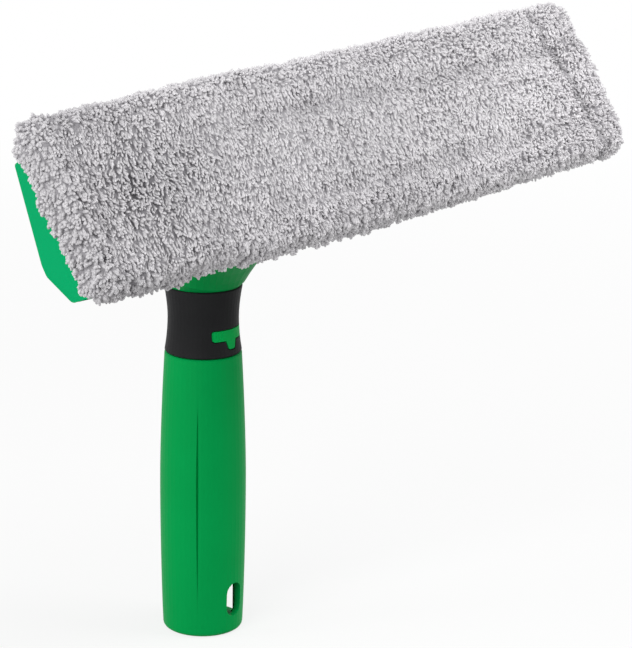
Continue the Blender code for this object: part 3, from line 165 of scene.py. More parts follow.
# How far the pad sits up on its strips (place along it, lift)
LIFTS = (
    (-180.0 * MM, 0.2 * MM),
    (-120.0 * MM, 0.7 * MM),
    (-60.0 * MM, 1.8 * MM),
    (-20.0 * MM, 0.7 * MM),
    (60.0 * MM, 1.3 * MM),
    (180.0 * MM, 2.2 * MM),
)

# Tufts. A spread is (least, how much more at most)
TUFT_SPACING = 0.82 * MM
TUFT_LENGTH = 3.1 * MM
TUFT_RADIUS = 0.45 * MM
TUFT_SIDES = 6
TUFT_ROOT = 0.8 * MM  # a tuft starts this far under the skin
TUFT_BEND = 0.45  # how far its curl takes its tip aside, for its length
LENGTH_SPREAD = (0.84, 0.32)
RADIUS_SPREAD = (0.80, 0.40)
FLAT_SPREAD = (0.8, 0.4)
BORDER_SHORTER = 0.10
KNOBS_SHORTER = 0.18
KNOBS_THICKER = 0.50
TRIES = 5.0  # places tried for each square of the spacing
PILE_PIECES = 10
SEED = 11

# Rings of a tuft (place along it, share of the radius, tone). The tone falls towards the root as painted
# shade deep in the pile
TUFT_RINGS = (
    (0.0, 0.65, 0.22),
    (0.38, 1.0, 0.52),
    (0.74, 0.98, 0.84),
    (0.93, 0.70, 0.97),
    (1.0, 0.28, 1.0),
)

# The way in which the pile is laid on the left and on the right, and between which places it turns
LAY_LEFT = (-0.9, 0.0, -2.0)
LAY_RIGHT = (-1.05, 0.0, -0.95)
LAY_TURNS = (10.0 * MM, 120.0 * MM)
BORDER_UPRIGHT = 0.55  # how much less it is laid along the border
OPEN_UPRIGHT = 0.30  # and where the pile stands open

# What else turns a tuft: broad and fine swirls, chance, and the slopes of the creases
SWIRL_WAVES = 24
SWIRL = 0.28
SWIRL_SIZES = (10.0 * MM, 45.0 * MM)
FINE_SWIRL = 0.30
FINE_SWIRL_SIZES = (2.5 * MM, 6.0 * MM)
TANGLE = 0.26
PARTING = 1.6

# Locks are tufts that lean together, and each lock has a number of its own for its length and its tone
LOCK_SPACING = 2.4 * MM
LOCK_REACH = 0.6  # share of the spacing at which the pull to the lock's middle is 1
LOCK_PULL = (0.37, 0.08)  # inside the pad, and what the border adds
LOCK_LENGTH = (0.92, 0.22)
LOCK_TONE = (0.94, 0.10)
# Painted shade between locks: tufts far from their lock's middle are darker
LOCK_EDGE = 1.2  # the edge of a lock is darker, up to this pull
LOCK_EDGE_SHADE = 0.08

# Curl of a tuft: along the lay, by chance and into its lock
CURL_LAY = 0.12
CURL_TANGLE = 0.30
CURL_LOCK = 0.12

# Where the pile stands open, with its roots seen. There painted shade darkens the tufts and the skin
OPEN_PLACE = (-134.0 * MM, 0.0)
OPEN_HALF = (34.0 * MM, 27.0 * MM)
OPEN_THINNING = 0.10
OPEN_PAINTED_SHADE = 0.68
OPEN_ROOTS = 1.1  # the further a ring's tone is under this, the more it darkens there

# Tones of the skin and the pile, with painted shade and painted light in them
SKIN_TONE = 0.62
SKIN_PAINTED_SHADE_OPENED = 0.46
TONE_SPREAD = (0.79, 0.14)
# Painted shade: tufts are darker in deep creases and on the border's knobs
CREASE_SHADE = 0.42
KNOB_SHADE = 0.26
# Painted light: the pile's tone is lifted towards white along the border and towards the right, less on
# the knobs
BORDER_PAINTED_LIGHT = 0.36
BORDER_PAINTED_LIGHT_FROM = (-160.0 * MM, -70.0 * MM)  # the border gets paler from here to here, and stays so
RIGHT_PAINTED_LIGHT = 0.55
RIGHT_PAINTED_LIGHT_FROM = (0.0, 130.0 * MM)  # and all of the pile from here to here
KNOBS_LESS_PAINTED_LIGHT = 0.4

# Floor: tone as seen, tone for the light it throws up, its glow near by, and where that grows to white
FLOOR_TONE = (0.88, 0.88, 0.88)
FLOOR_BOUNCE = (0.48, 0.48, 0.48)
FLOOR_GLOW = 0.80
FLOOR_FADE = (0.25, 1.1)
FLOOR_REACH = 30.0
FLOOR_DROP = 0.2 * MM

# The world's strength as light and as it is seen
WORLD_LIGHT = 0.36
WORLD_SEEN = 1.0

# Lamps (name, place, target, size, power)
LAMPS = (
    ("key", (-2.6, -0.35, 1.3), (0.0, 0.0, 0.15), (1.8, 1.8), 52.0),
    ("top", (0.68, -0.8, 1.2), (0.06, -0.05, 0.2), (0.9, 0.9), 12.5),
    ("fill", (0.75, -1.5, 0.25), (0.05, -0.08, 0.2), (0.5, 0.4), 3.2),
    ("accent", (-0.60, 0.50, 0.34), (0.0, 0.0, 0.11), (0.3, 0.4), 1.5),
)

# Camera, fitted to the photograph. Its focal length and the photograph's height are in pixels
CAMERA_TURN = math.radians(52.5)
CAMERA_RISE = math.radians(15.7)
CAMERA_ROLL = math.radians(0.75)
CAMERA_DISTANCE = 1.2018
CAMERA_HEIGHT = 0.1573
CAMERA_ACROSS = 0.04937
CAMERA_UPWARD = -0.01583
SENSOR = 36.0
FOCAL_LENGTH = 2743.0
PHOTO_HEIGHT = 648.0

# Sockets of a Mix node for colours
MIX_FACTOR = 0
MIX_FIRST = 6
MIX_SECOND = 7
MIX_RESULT = 2


# Nodes

def new_material(name):
    made = bpy.data.materials.new(name)
    made.use_nodes = True
    tree = made.node_tree
    return made, tree, tree.nodes["Principled BSDF"]


def feed(tree, target, value):
    """Links a socket to an input, or puts a number or a colour into it."""
    if isinstance(value, bpy.types.NodeSocket):
        tree.links.new(value, target)
    else:
        target.default_value = value


def node(tree, kind, inputs=None, **settings):
    """A new node with its settings and its named inputs."""
    made = tree.nodes.new(kind)
    for key, value in settings.items():
        setattr(made, key, value)
    for key, value in (inputs or {}).items():
        feed(tree, made.inputs[key], value)
    return made


def object_place(tree):
    """Places in the object's own coordinates."""
    return node(tree, "ShaderNodeTexCoord").outputs["Object"]


def noise(tree, scale, detail=3.0, roughness=0.5, stretch=None):
    """Noise with so many features a metre."""
    place = object_place(tree)
    if stretch:
        mapping = node(tree, "ShaderNodeMapping", {"Vector": place, "Scale": stretch})
        place = mapping.outputs["Vector"]
    inputs = {"Vector": place, "Scale": scale, "Detail": detail, "Roughness": roughness}
    return node(tree, "ShaderNodeTexNoise", inputs).outputs["Fac"]


def ramp(tree, source, low, high, start=0.35, end=0.65):
    """A number mapped from start..end to low..high."""
    inputs = {"Value": source, "From Min": start, "From Max": end, "To Min": low, "To Max": high}
    return node(tree, "ShaderNodeMapRange", inputs).outputs["Result"]


def maths(tree, operation, first, second=0.0, clamp=False):
    """Result of a Math node whose two inputs are each a socket or a number."""
    made = node(tree, "ShaderNodeMath", operation=operation, use_clamp=clamp)
    feed(tree, made.inputs[0], first)
    feed(tree, made.inputs[1], second)
    return made.outputs[0]


def opaque(colour):
    return (*colour, 1.0)


def mix_colour(tree, factor, first, second):
    """Colour between two, each a socket or four numbers."""
    made = node(tree, "ShaderNodeMix", data_type="RGBA")
    feed(tree, made.inputs[MIX_FACTOR], factor)
    feed(tree, made.inputs[MIX_FIRST], first)
    feed(tree, made.inputs[MIX_SECOND], second)
    return made.outputs[MIX_RESULT]


def bump(tree, shader, height, strength, distance):
    """Relief on the shader, over what relief it already has."""
    before = [joint.from_socket for joint in shader.inputs["Normal"].links]
    made = node(tree, "ShaderNodeBump", {"Height": height, "Strength": strength, "Distance": distance})
    for normal in before:
        feed(tree, made.inputs["Normal"], normal)
    feed(tree, shader.inputs["Normal"], made.outputs["Normal"])


def set_inputs(shader, values):
    """Puts constants into a shader's inputs."""
    for key, value in values.items():
        shader.inputs[key].default_value = value


# Materials

def moulded(name, dark, light, rough, grain=1500.0, strength=0.16, specular=0.045):
    """Moulded plastic or rubber: cloudy tone, fine spark-eroded grain, scuffed edges."""
    made, tree, shader = new_material(name)
    edge = node(tree, "ShaderNodeNewGeometry").outputs["Pointiness"]
    wear = ramp(tree, edge, low=0.0, high=0.35, start=0.52, end=0.60)
    cloud = ramp(tree, noise(tree, scale=38.0, detail=4.0), low=0.0, high=1.0, start=0.3, end=0.7)
    tone = maths(tree, "ADD", cloud, wear, clamp=True)
    fine = noise(tree, scale=grain, detail=2.0)
    feed(tree, shader.inputs["Base Color"], mix_colour(tree, tone, opaque(dark), opaque(light)))
    feed(tree, shader.inputs["Roughness"], ramp(tree, fine, low=rough - 0.05, high=rough + 0.06))
    set_inputs(shader, {"Specular IOR Level": specular})
    bump(tree, shader, fine, strength, GRAIN_DEPTH)
    return made


def metal(name, colour, rough, stretch):
    """Drawn or plated metal with fine lines along one way."""
    made, tree, shader = new_material(name)
    lines = noise(tree, scale=900.0, roughness=0.6, stretch=stretch)
    dark = [channel * METAL_LINES for channel in colour]
    tone = mix_colour(tree, ramp(tree, lines, low=0.0, high=1.0), opaque(dark), opaque(colour))
    feed(tree, shader.inputs["Base Color"], tone)
    feed(tree, shader.inputs["Roughness"], ramp(tree, lines, low=rough - 0.07, high=rough + 0.1))
    set_inputs(shader, {"Metallic": 1.0})
    bump(tree, shader, lines, strength=0.2, distance=METAL_DEPTH)
    return made


def woven(name, dark, light, pitch):
    """Woven or knitted fabric: two crossed waves for the threads."""
    made, tree, shader = new_material(name)
    place = object_place(tree)
    bands = []
    for axis in ("X", "Z"):
        inputs = {"Vector": place, "Scale": 1.0 / pitch / WAVE_BANDS, "Distortion": 0.6}
        bands.append(node(tree, "ShaderNodeTexWave", inputs, bands_direction=axis).outputs["Fac"])
    threads = maths(tree, "MULTIPLY", *bands)
    feed(tree, shader.inputs["Base Color"], mix_colour(tree, threads, opaque(dark), opaque(light)))
    set_inputs(shader, {"Roughness": 0.92, "Sheen Weight": 0.25})
    bump(tree, shader, threads, strength=0.6, distance=THREAD_DEPTH)
    return made


def pile_material(name, dark, light):
    """Microfibre: each point has a tone, which holds painted shade and painted light as well as its own,
    on top of broad clouds.
    """
    made, tree, shader = new_material(name)
    tone = node(tree, "ShaderNodeAttribute", attribute_name="tone").outputs["Fac"]
    cloud = ramp(tree, noise(tree, scale=55.0), low=-0.06, high=0.06, start=0.3, end=0.7)
    total = maths(tree, "ADD", tone, cloud, clamp=True)
    fibre = noise(tree, scale=5200.0, detail=2.0)
    feed(tree, shader.inputs["Base Color"], mix_colour(tree, total, opaque(dark), opaque(light)))
    feed(tree, shader.inputs["Roughness"], ramp(tree, fibre, low=0.78, high=0.95))
    set_inputs(shader, {"Specular IOR Level": 0.25, "Sheen Weight": 0.35, "Sheen Roughness": 0.45})
    bump(tree, shader, fibre, strength=0.25, distance=FIBRE_DEPTH)
    return made


def add_ribs(finish):
    """Fine upright ribs past a distance from the middle, on top of the moulded grain."""
    tree = finish.node_tree
    split = node(tree, "ShaderNodeSeparateXYZ", {"Vector": object_place(tree)})
    away = maths(tree, "ABSOLUTE", split.outputs["X"])
    rib = maths(tree, "SINE", maths(tree, "MULTIPLY", away, 2.0 * math.pi / RIB_PITCH))
    past = ramp(tree, away, low=0.0, high=1.0, start=RIB_START, end=RIB_START + RIB_RISE)
    height = maths(tree, "MULTIPLY", rib, past)
    bump(tree, tree.nodes["Principled BSDF"], height, RIB_STRENGTH, RIB_DEPTH)


def add_painted_groove_shade(finish):
    """Painted shade: a faint dark line where each thumb groove runs out into the barrel, past both of its
    ends.
    """
    tree = finish.node_tree
    colour = tree.nodes["Principled BSDF"].inputs["Base Color"]
    plain = colour.links[0].from_socket
    split = node(tree, "ShaderNodeSeparateXYZ", {"Vector": object_place(tree)})
    aside = maths(tree, "ABSOLUTE", split.outputs["X"])
    ahead = maths(tree, "MULTIPLY", split.outputs["Y"], -1.0)
    turn = maths(tree, "ARCTAN2", aside, ahead)
    off = maths(tree, "ABSOLUTE", maths(tree, "SUBTRACT", turn, GROOVE_ANGLE))
    line = ramp(tree, off, low=1.0, high=0.0, start=GROOVE_LINE / 3.0, end=GROOVE_LINE)
    away = maths(tree, "ABSOLUTE", maths(tree, "SUBTRACT", split.outputs["Z"], GROOVE_MIDDLE))
    along = ramp(tree, away, low=1.0, high=0.0, start=GROOVE_HALF - GROOVE_FADE, end=GROOVE_HALF)
    share = maths(tree, "MULTIPLY", maths(tree, "MULTIPLY", line, along), GROOVE_SHADE)
    feed(tree, colour, mix_colour(tree, share, plain, opaque((0.0, 0.0, 0.0))))


FINISHES = {
    "grip_green": moulded("grip_satin_green", (0.0, 0.292, 0.062), (0.0, 0.308, 0.067), 0.44),
    # The button's green has a slightly different hue of its own, and is lighter than the grip's as
    # painted light against the pad's shadow
    "button_green": moulded("button_satin_green_painted_light", (0.0, 0.365, 0.070), (0.0, 0.395, 0.078), 0.42),
    # The body is the grip's green plastic made darker, as painted shade for the pad's shadow over the
    # neck
    "body_green": moulded("body_satin_green_painted_shade", (0.0, 0.232, 0.047), (0.0, 0.255, 0.054), 0.40),
    # The cap's green is bluer than the grip's, and lighter as painted light from the left
    "cap_green": moulded("cap_satin_green_painted_light", (0.0, 0.325, 0.112), (0.0, 0.350, 0.122), 0.40),
    "collar_black": moulded(
        "collar_soft_black", (0.012, 0.012, 0.013), (0.016, 0.016, 0.017), 0.50,
        grain=2200.0, strength=0.25, specular=0.06,
    ),
    "core_grey": moulded("core_dark_grey", (0.085, 0.09, 0.09), (0.11, 0.115, 0.115), 0.5),
    "tongue_white": moulded("tongue_natural", (0.50, 0.51, 0.50), (0.58, 0.59, 0.575), 0.45),
    "clip_black": moulded("clip_black", (0.025, 0.025, 0.027), (0.034, 0.034, 0.036), 0.5),
    "blade_rubber": moulded(
        "blade_rubber", (0.014, 0.014, 0.014), (0.021, 0.021, 0.021), 0.55, grain=3000.0, strength=0.2,
    ),
    "screw_steel": metal("zinc_steel", (0.55, 0.56, 0.58), 0.32, (1.0, 1.0, 1.0)),
    "channel_aluminium": metal("drawn_aluminium", (0.62, 0.63, 0.65), 0.34, (0.02, 1.0, 1.0)),
    "hook_tape": woven("hook_tape", (0.20, 0.205, 0.21), (0.36, 0.37, 0.38), 1.6 * MM),
    "backing_fabric": woven("backing_knit", (0.30, 0.30, 0.31), (0.48, 0.48, 0.49), 1.2 * MM),
    "microfibre_grey": pile_material("pile_microfibre", (0.245, 0.238, 0.254), (0.925, 0.906, 0.926)),
}
# Painted shade: the skin under the pile is a darker grey than the fibres, so that the gaps between the
# tufts look shaded
SKIN_PAINTED_SHADE_FINISH = pile_material("pile_root_painted_shade", (0.10, 0.096, 0.106), (0.50, 0.485, 0.51))
add_ribs(FINISHES["button_green"])
add_painted_groove_shade(FINISHES["grip_green"])

for part in frame["record"]["subparts"]:
    for held in frame["nodes"][part["node"]].material_slots:
        held.material = FINISHES[part["material_slot"]]


# Fields over the pad

def unit(ways):
    return ways / np.linalg.norm(ways, axis=1)[:, None]


def spread(share, least, more):
    return least + more * share


def waves(random, count, low, high):
    """A smooth random field, three numbers at each place, from a sum of plane waves."""
    ways = unit(random.normal(size=(count, 3)))
    ways *= 2.0 * math.pi / (low * (high / low) ** random.random((count, 1)))
    phases = random.random((count, 3)) * 2.0 * math.pi

    def field(places):
        total = np.zeros((len(places), 3))
        for way, phase in zip(ways, phases):
            total += np.sin((places @ way)[:, None] + phase)
        return total / math.sqrt(count / 2.0)

    return field


def edge_distance(x, up):
    """Distance in from the pad's rounded outline."""
    corner = np.where(x < 0.0, *PAD_CORNERS)
    past_x = np.abs(x) - (PAD_HALF_X - corner)
    past_up = np.abs(up) - (PAD_HALF_UP - corner)
    round_in = corner - np.hypot(past_x, past_up)
    plain_in = corner - np.maximum(past_x, past_up)
    return np.where((past_x > 0.0) & (past_up > 0.0), round_in, plain_in)


def border_share(x, up):
    """1 at the pad's outline, falling to 0 inside its border."""
    return np.clip(1.0 - edge_distance(x, up) / BORDER, 0.0, 1.0)


def knobbly(x, up):
    """Share of the border's knobs: most at the left end and along the bottom."""
    towards_left = 0.5 - x / (2.0 * PAD_HALF_X)
    towards_bottom = 0.5 - up / (2.0 * PAD_HALF_UP)
    share = towards_left + KNOBS_BOTTOM * towards_bottom - KNOBS_OFF
    return border_share(x, up) * np.clip(share, KNOBS_LEAST, 1.0)


def opening(x, up):
    """1 where the pile stands most open, falling to 0 around it."""
    across = (x - OPEN_PLACE[0]) / OPEN_HALF[0]
    along = (up - OPEN_PLACE[1]) / OPEN_HALF[1]
    return np.exp(-(across**2) - along**2)


def wave(up, share, pace, phase):
    return share * np.sin(up * pace + phase)


def creases(x, up):
    """Depth of the creases at a place of the front."""
    total = 0.0
    wander = CREASE_WANDER * sum(wave(up, *one) for one in CREASE_WANDER_WAVES)
    broken = CREASE_DEPTH_EVEN + wave(up, *CREASE_DEPTH_WAVE)
    for place, slant, width, depth in END_CREASES:
        across = (x - slant * up - wander - place) / width
        total = np.maximum(total, depth * broken * np.exp(-(across**2)))
    share = np.interp(x, LONG_CREASES_FADE, (LONG_CREASES_LEFT, 1.0))
    for place, width, depth in LONG_CREASES:
        total = np.maximum(total, share * depth * np.exp(-(((up - place) / width) ** 2)))
    return total


def creased(x, up):
    """1 in a deep crease, 0 on the plain front."""
    return np.minimum(creases(x, up) / CREASE_FULL, 1.0)


def parting(x, up):
    """Way out of the crease at a place, in which its tufts lean."""
    slope_x = creases(x + CREASE_STEP, up) - creases(x - CREASE_STEP, up)
    slope_up = creases(x, up + CREASE_STEP) - creases(x, up - CREASE_STEP)
    return -np.stack((slope_x, np.zeros(len(x)), slope_up), axis=1) / (2.0 * CREASE_STEP)


def painted_light_share(x, up):
    """Painted light: how far a tuft's tone goes to white, along the border and towards the right, not in
    creases.
    """
    border = BORDER_PAINTED_LIGHT * border_share(x, up) * np.interp(x, BORDER_PAINTED_LIGHT_FROM, (0.0, 1.0))
    share = np.maximum(border, np.interp(x, RIGHT_PAINTED_LIGHT_FROM, (0.0, RIGHT_PAINTED_LIGHT)))
    return share * (1.0 - creased(x, up)) * (1.0 - KNOBS_LESS_PAINTED_LIGHT * knobbly(x, up))


# Pad skin

def round_corner(x, up):
    """Turns the square corners of the pad's sheet into round ones."""
    corner = PAD_CORNERS[0] if x < 0.0 else PAD_CORNERS[1]
    core_x, core_up = PAD_HALF_X - corner, PAD_HALF_UP - corner
    past_x = (abs(x) - core_x) / corner
    past_up = (abs(up) - core_up) / corner
    if past_x <= 0.0 or past_up <= 0.0:
        return x, up
    round_x = core_x + corner * past_x * math.sqrt(1.0 - past_up**2 / 2.0)
    round_up = core_up + corner * past_up * math.sqrt(1.0 - past_x**2 / 2.0)
    return math.copysign(round_x, x), math.copysign(round_up, up)


def front_depth(x, up):
    """Depth of the skin's front: crowned, rolled over at its edge and creased."""
    rolled = np.clip(1.0 - edge_distance(x, up) / PAD_EDGE, 0.0, 1.0)
    depth = PAD_FRONT + PAD_CROWN * (up / PAD_HALF_UP) ** 2
    return depth + PAD_EDGE * PAD_EDGE_ROLL * (1.0 - np.sqrt(1.0 - rolled**2)) + creases(x, up)


def unevenness(random):
    """Soft lumps, knobs along the border and broad ripples of the skin, as a height at each place."""
    lumps = waves(random, LUMP_WAVES, *LUMP_SIZES)
    knobs = waves(random, LUMP_WAVES, *KNOB_SIZES)
    ripples = waves(random, RIPPLE_WAVES, *RIPPLE_SIZES)

    def height(places):
        knob = KNOB * knobbly(places[:, 0], places[:, 2])
        return LUMP * lumps(places)[:, 0] + knob * knobs(places)[:, 0] + RIPPLE * ripples(places)[:, 0]

    return height


def set_on_strips(spot):
    """Moves a place of the skin to where the pad sits: a little high, and drawn out to the right."""
    right = min(max(spot.x / PAD_HALF_X, 0.0), 1.0) ** 2
    low = min(max(-spot.z / PAD_HALF_UP, 0.0), 1.0) ** 2
    left = np.interp(spot.x, LEFT_RISE_RANGE, (1.0, 0.0))
    spot.z += float(np.interp(spot.x, *zip(*LIFTS)) + LEFT_RISE * left * low)
    spot.x += right * (RIGHT_REACH + CORNER_REACH * low)


def bridge(work, lower, upper):
    """A band of faces between two rings of vertices."""
    count = len(lower)
    for index in range(count):
        after = (index + 1) % count
        work.faces.new((lower[index], lower[after], upper[after], upper[index]))


def add_front(work, height):
    """The front, row by row from the bottom. Gives the vertices of its outline in order."""
    places = np.array([
        round_corner(x, up)
        for up in np.linspace(-PAD_HALF_UP, PAD_HALF_UP, PAD_ROWS + 1)
        for x in np.linspace(-PAD_HALF_X, PAD_HALF_X, PAD_COLUMNS + 1)
    ])
    x, up = places.T
    depth = front_depth(x, up) - height(np.stack((x, np.zeros(len(x)), up), axis=1))
    verts = [work.verts.new(place) for place in zip(x, depth, up)]
    width = PAD_COLUMNS + 1
    rows = [verts[start:start + width] for start in range(0, len(verts), width)]
    for below, above in zip(rows, rows[1:]):
        for column in range(PAD_COLUMNS):
            after = column + 1
            work.faces.new((below[column], below[after], above[after], above[column]))
    rim = rows[0][:-1] + [row[-1] for row in rows[:-1]]
    return rim + rows[-1][:0:-1] + [row[0] for row in rows[:0:-1]]


def add_sides(work, rim, outline, height):
    """The sides, from the front's rim to the back. Gives their last ring."""
    ring = rim
    for share, draw in SIDE_LAYERS:
        side = np.array([(x, depth + (PAD_SIDE_BACK - depth) * share, up) for x, depth, up in outline])
        after = []
        for (x, depth, up), inward in zip(side, draw - SIDE_UNEVEN * height(side)):
            scale_x, scale_up = 1.0 - inward / PAD_HALF_X, 1.0 - inward / PAD_HALF_UP
            after.append(work.verts.new((x * scale_x, min(depth, PAD_BACK), up * scale_up)))
        bridge(work, ring, after)
        ring = after
    return ring


def add_recess(work, ring, outline):
    """The flat rim of the back and the walls of its hollow. Gives the ring at the hollow's bottom."""
    scale_x, scale_up = RECESS_HALF_X / PAD_HALF_X, RECESS_HALF_UP / PAD_HALF_UP
    for depth in (PAD_BACK, RECESS_DEPTH):
        after = [work.verts.new((corner.x * scale_x, depth, corner.z * scale_up)) for corner in outline]
        bridge(work, ring, after)
        ring = after
    return ring


def set_tones(mesh, tones):
    """Gives each point of a mesh its tone."""
    attribute = mesh.attributes.new("tone", "FLOAT", "POINT")
    attribute.data.foreach_set("value", tones.reshape(-1).astype(np.float32))


def pad_skin(random):
    """The skin that the pile grows from, closed all round."""
    height = unevenness(random)
    work = bmesh.new()
    rim = add_front(work, height)
    outline = [vertex.co.copy() for vertex in rim]
    bottom = add_recess(work, add_sides(work, rim, outline, height), outline)
    inside = set(bottom)
    for vertex in work.verts:
        if vertex not in inside and vertex.co.y < PAD_BACK:
            set_on_strips(vertex.co)
    work.faces.new(bottom[::-1])
    bmesh.ops.recalc_face_normals(work, faces=work.faces)
    mesh = bpy.data.meshes.new("scrubber_pad_skin")
    work.to_mesh(mesh)
    work.free()
    mesh.shade_smooth()
    x, up = np.array([(vertex.co.x, vertex.co.z) for vertex in mesh.vertices]).T
    # Painted shade: the skin is darker where the pile stands open
    set_tones(mesh, SKIN_TONE - SKIN_PAINTED_SHADE_OPENED * opening(x, up))
    return mesh


# Pile

def in_recess(places):
    """True for places on the walls and the bottom of the hollow behind the pad."""
    behind = places[:, 1] > RECESS_DEPTH - RECESS_CLEAR
    narrow = np.abs(places[:, 0]) < RECESS_HALF_X + RIM_CLEAR
    low = np.abs(places[:, 2]) < RECESS_HALF_UP + RIM_CLEAR
    return behind & narrow & low


def threes(items, field, kind):
    """A field of a mesh's items that has three numbers for each."""
    values = np.empty(len(items) * 3, kind)
    items.foreach_get(field, values)
    return values.reshape(-1, 3)


def crowded(grid, cell, place, limit):
    """True if a place kept before is nearer than the root of the limit."""
    x, y, z = place
    for near in product(*((index - 1, index, index + 1) for index in cell)):
        for other in grid.get(near, ()):
            if (other[0] - x) ** 2 + (other[1] - y) ** 2 + (other[2] - z) ** 2 < limit:
                return True
    return False


def thinned(points, spacing):
    """Indices of points of which no two are closer than the spacing."""
    kept, grid = [], {}
    limit = spacing * spacing
    cells = np.floor(points / spacing).astype(np.int64).tolist()
    for index, (cell, place) in enumerate(zip(cells, points.tolist())):
        if not crowded(grid, cell, place, limit):
            grid.setdefault(tuple(cell), []).append(place)
            kept.append(index)
    return kept


def scatter(mesh, spacing, random):
    """Points on the outside of the skin, no two closer than a spacing, with smooth normals."""
    mesh.calc_loop_triangles()
    corners = threes(mesh.loop_triangles, "vertices", np.int32)
    places = threes(mesh.vertices, "co", np.float32).astype(float)
    normals = threes(mesh.vertices, "normal", np.float32).astype(float)
    a, b, c = (places[corners[:, index]] for index in range(3))
    area = np.linalg.norm(np.cross(b - a, c - a), axis=1) / 2
    middle = (a + b + c) / 3
    area = area * (middle[:, 1] < PAD_BACK - RIM_CLEAR) * ~in_recess(middle)
    wanted = int(area.sum() / spacing**2 * TRIES)
    pick = random.choice(len(corners), wanted, p=area / area.sum())
    r, s = np.sqrt(random.random(wanted)), random.random(wanted)
    weights = np.stack((1.0 - r, r * (1.0 - s), r * s), axis=1)
    point = (places[corners[pick]] * weights[:, :, None]).sum(1)
    normal = unit((normals[corners[pick]] * weights[:, :, None]).sum(1))
    kept = thinned(point, spacing)
    return point[kept], normal[kept]


def flat_to(ways, normals):
    """The part of each way that lies along the surface."""
    return ways - (ways * normals).sum(1)[:, None] * normals


def locks(points, lock_points, random):
    """Pull of each tuft towards the middle of its lock, the pull's size, and the lock's own number."""
    tree = KDTree(len(lock_points))
    for index, point in enumerate(lock_points):
        tree.insert(point, index)
    tree.balance()
    nearest = np.array([tree.find(point)[1] for point in points])
    pull = (lock_points[nearest] - points) / (LOCK_SPACING * LOCK_REACH)
    own = random.random(len(lock_points))
    return pull, np.linalg.norm(pull, axis=1), own[nearest]


def lay_at(x):
    """The way in which the pile is laid at a place along the pad."""
    turned = np.interp(x, LAY_TURNS, (0.0, 1.0))[:, None]
    return np.array(LAY_LEFT) * (1.0 - turned) + np.array(LAY_RIGHT) * turned


def groom(points, normals, lock_points, random):
    """Way, curl, length and tone of each tuft: laid along the pad, in locks, parted at the creases. The
    tone holds painted shade at the edges of locks, in creases and on the knobs.
    """
    count = len(points)
    x, up = points[:, 0], points[:, 2]
    border, knobs = border_share(x, up), knobbly(x, up)
    swirl = waves(random, SWIRL_WAVES, *SWIRL_SIZES)(points)
    fine = waves(random, SWIRL_WAVES, *FINE_SWIRL_SIZES)(points)
    pull, away, lock_own = locks(points, lock_points, random)
    lay = lay_at(x)
    laid = lay * (1.0 - BORDER_UPRIGHT * border[:, None]) * (1.0 - OPEN_UPRIGHT * opening(x, up)[:, None])
    laid = laid + SWIRL * swirl + FINE_SWIRL * fine
    laid = laid + TANGLE * random.normal(size=(count, 3)) + PARTING * parting(x, up)
    laid = laid + pull * spread(border[:, None], *LOCK_PULL)
    lead = unit(normals + flat_to(laid, normals))
    curl = CURL_LAY * lay + CURL_TANGLE * random.normal(size=(count, 3)) + CURL_LOCK * pull
    length = TUFT_LENGTH * spread(random.random(count), *LENGTH_SPREAD) * spread(lock_own, *LOCK_LENGTH)
    length = length * (1.0 - BORDER_SHORTER * border) * (1.0 - KNOBS_SHORTER * knobs)
    tone = spread(random.random(count), *TONE_SPREAD)
    tone = tone * (1.0 - LOCK_EDGE_SHADE * np.minimum(away, LOCK_EDGE) ** 2)
    tone = tone * (1.0 - CREASE_SHADE * creased(x, up))
    tone = tone * spread(lock_own, *LOCK_TONE) * (1.0 - KNOB_SHADE * knobs)
    return lead, flat_to(curl, lead), length, tone


def tuft_verts(points, normals, lead, curl, length, random):
    """Rings of every tuft, from a root under the skin to a rounded tip."""
    count = len(points)
    thicker = 1.0 + KNOBS_THICKER * knobbly(points[:, 0], points[:, 2])
    radius = TUFT_RADIUS * spread(random.random(count), *RADIUS_SPREAD) * thicker
    root = points - normals * TUFT_ROOT
    side = unit(np.cross(lead, random.normal(size=(count, 3))))
    other = np.cross(lead, side)
    flat = spread(random.random(count), *FLAT_SPREAD)[:, None]
    verts = np.empty((count, len(TUFT_RINGS), TUFT_SIDES, 3))
    for ring, (along, width, _) in enumerate(TUFT_RINGS):
        centre = root + (length * along)[:, None] * lead + (length * TUFT_BEND * along**2)[:, None] * curl
        for step in range(TUFT_SIDES):
            turn = 2.0 * math.pi * step / TUFT_SIDES
            spoke = math.cos(turn) * side * flat + math.sin(turn) * other / flat
            verts[:, ring, step] = centre + (radius * width)[:, None] * spoke
    return verts


def tuft_tones(points, own_tone):
    """Tone of every vertex: painted shade dark at the root and darkest where the pile is open, painted
    light paler along the border and to the right.
    """
    x, up = points[:, 0], points[:, 2]
    opened, painted_light = opening(x, up), painted_light_share(x, up)
    tones = np.empty((len(points), len(TUFT_RINGS), TUFT_SIDES))
    for ring, (_, _, tone) in enumerate(TUFT_RINGS):
        own = (tone - OPEN_PAINTED_SHADE * opened * (OPEN_ROOTS - tone)) * own_tone
        tones[:, ring] = (own + painted_light * (1.0 - own))[:, None]
    return tones


def clear_of_plate(verts):
    """True for each tuft that stays in front of the plate and the end caps."""
    x, depth, up = np.moveaxis(verts, 3, 0)
    within = (np.abs(x) < PLATE_HALF_X) & (up > PLATE_UP[0]) & (up < PLATE_UP[1])
    return ~(within & (depth > PLATE_DEPTH)).any(axis=(1, 2))


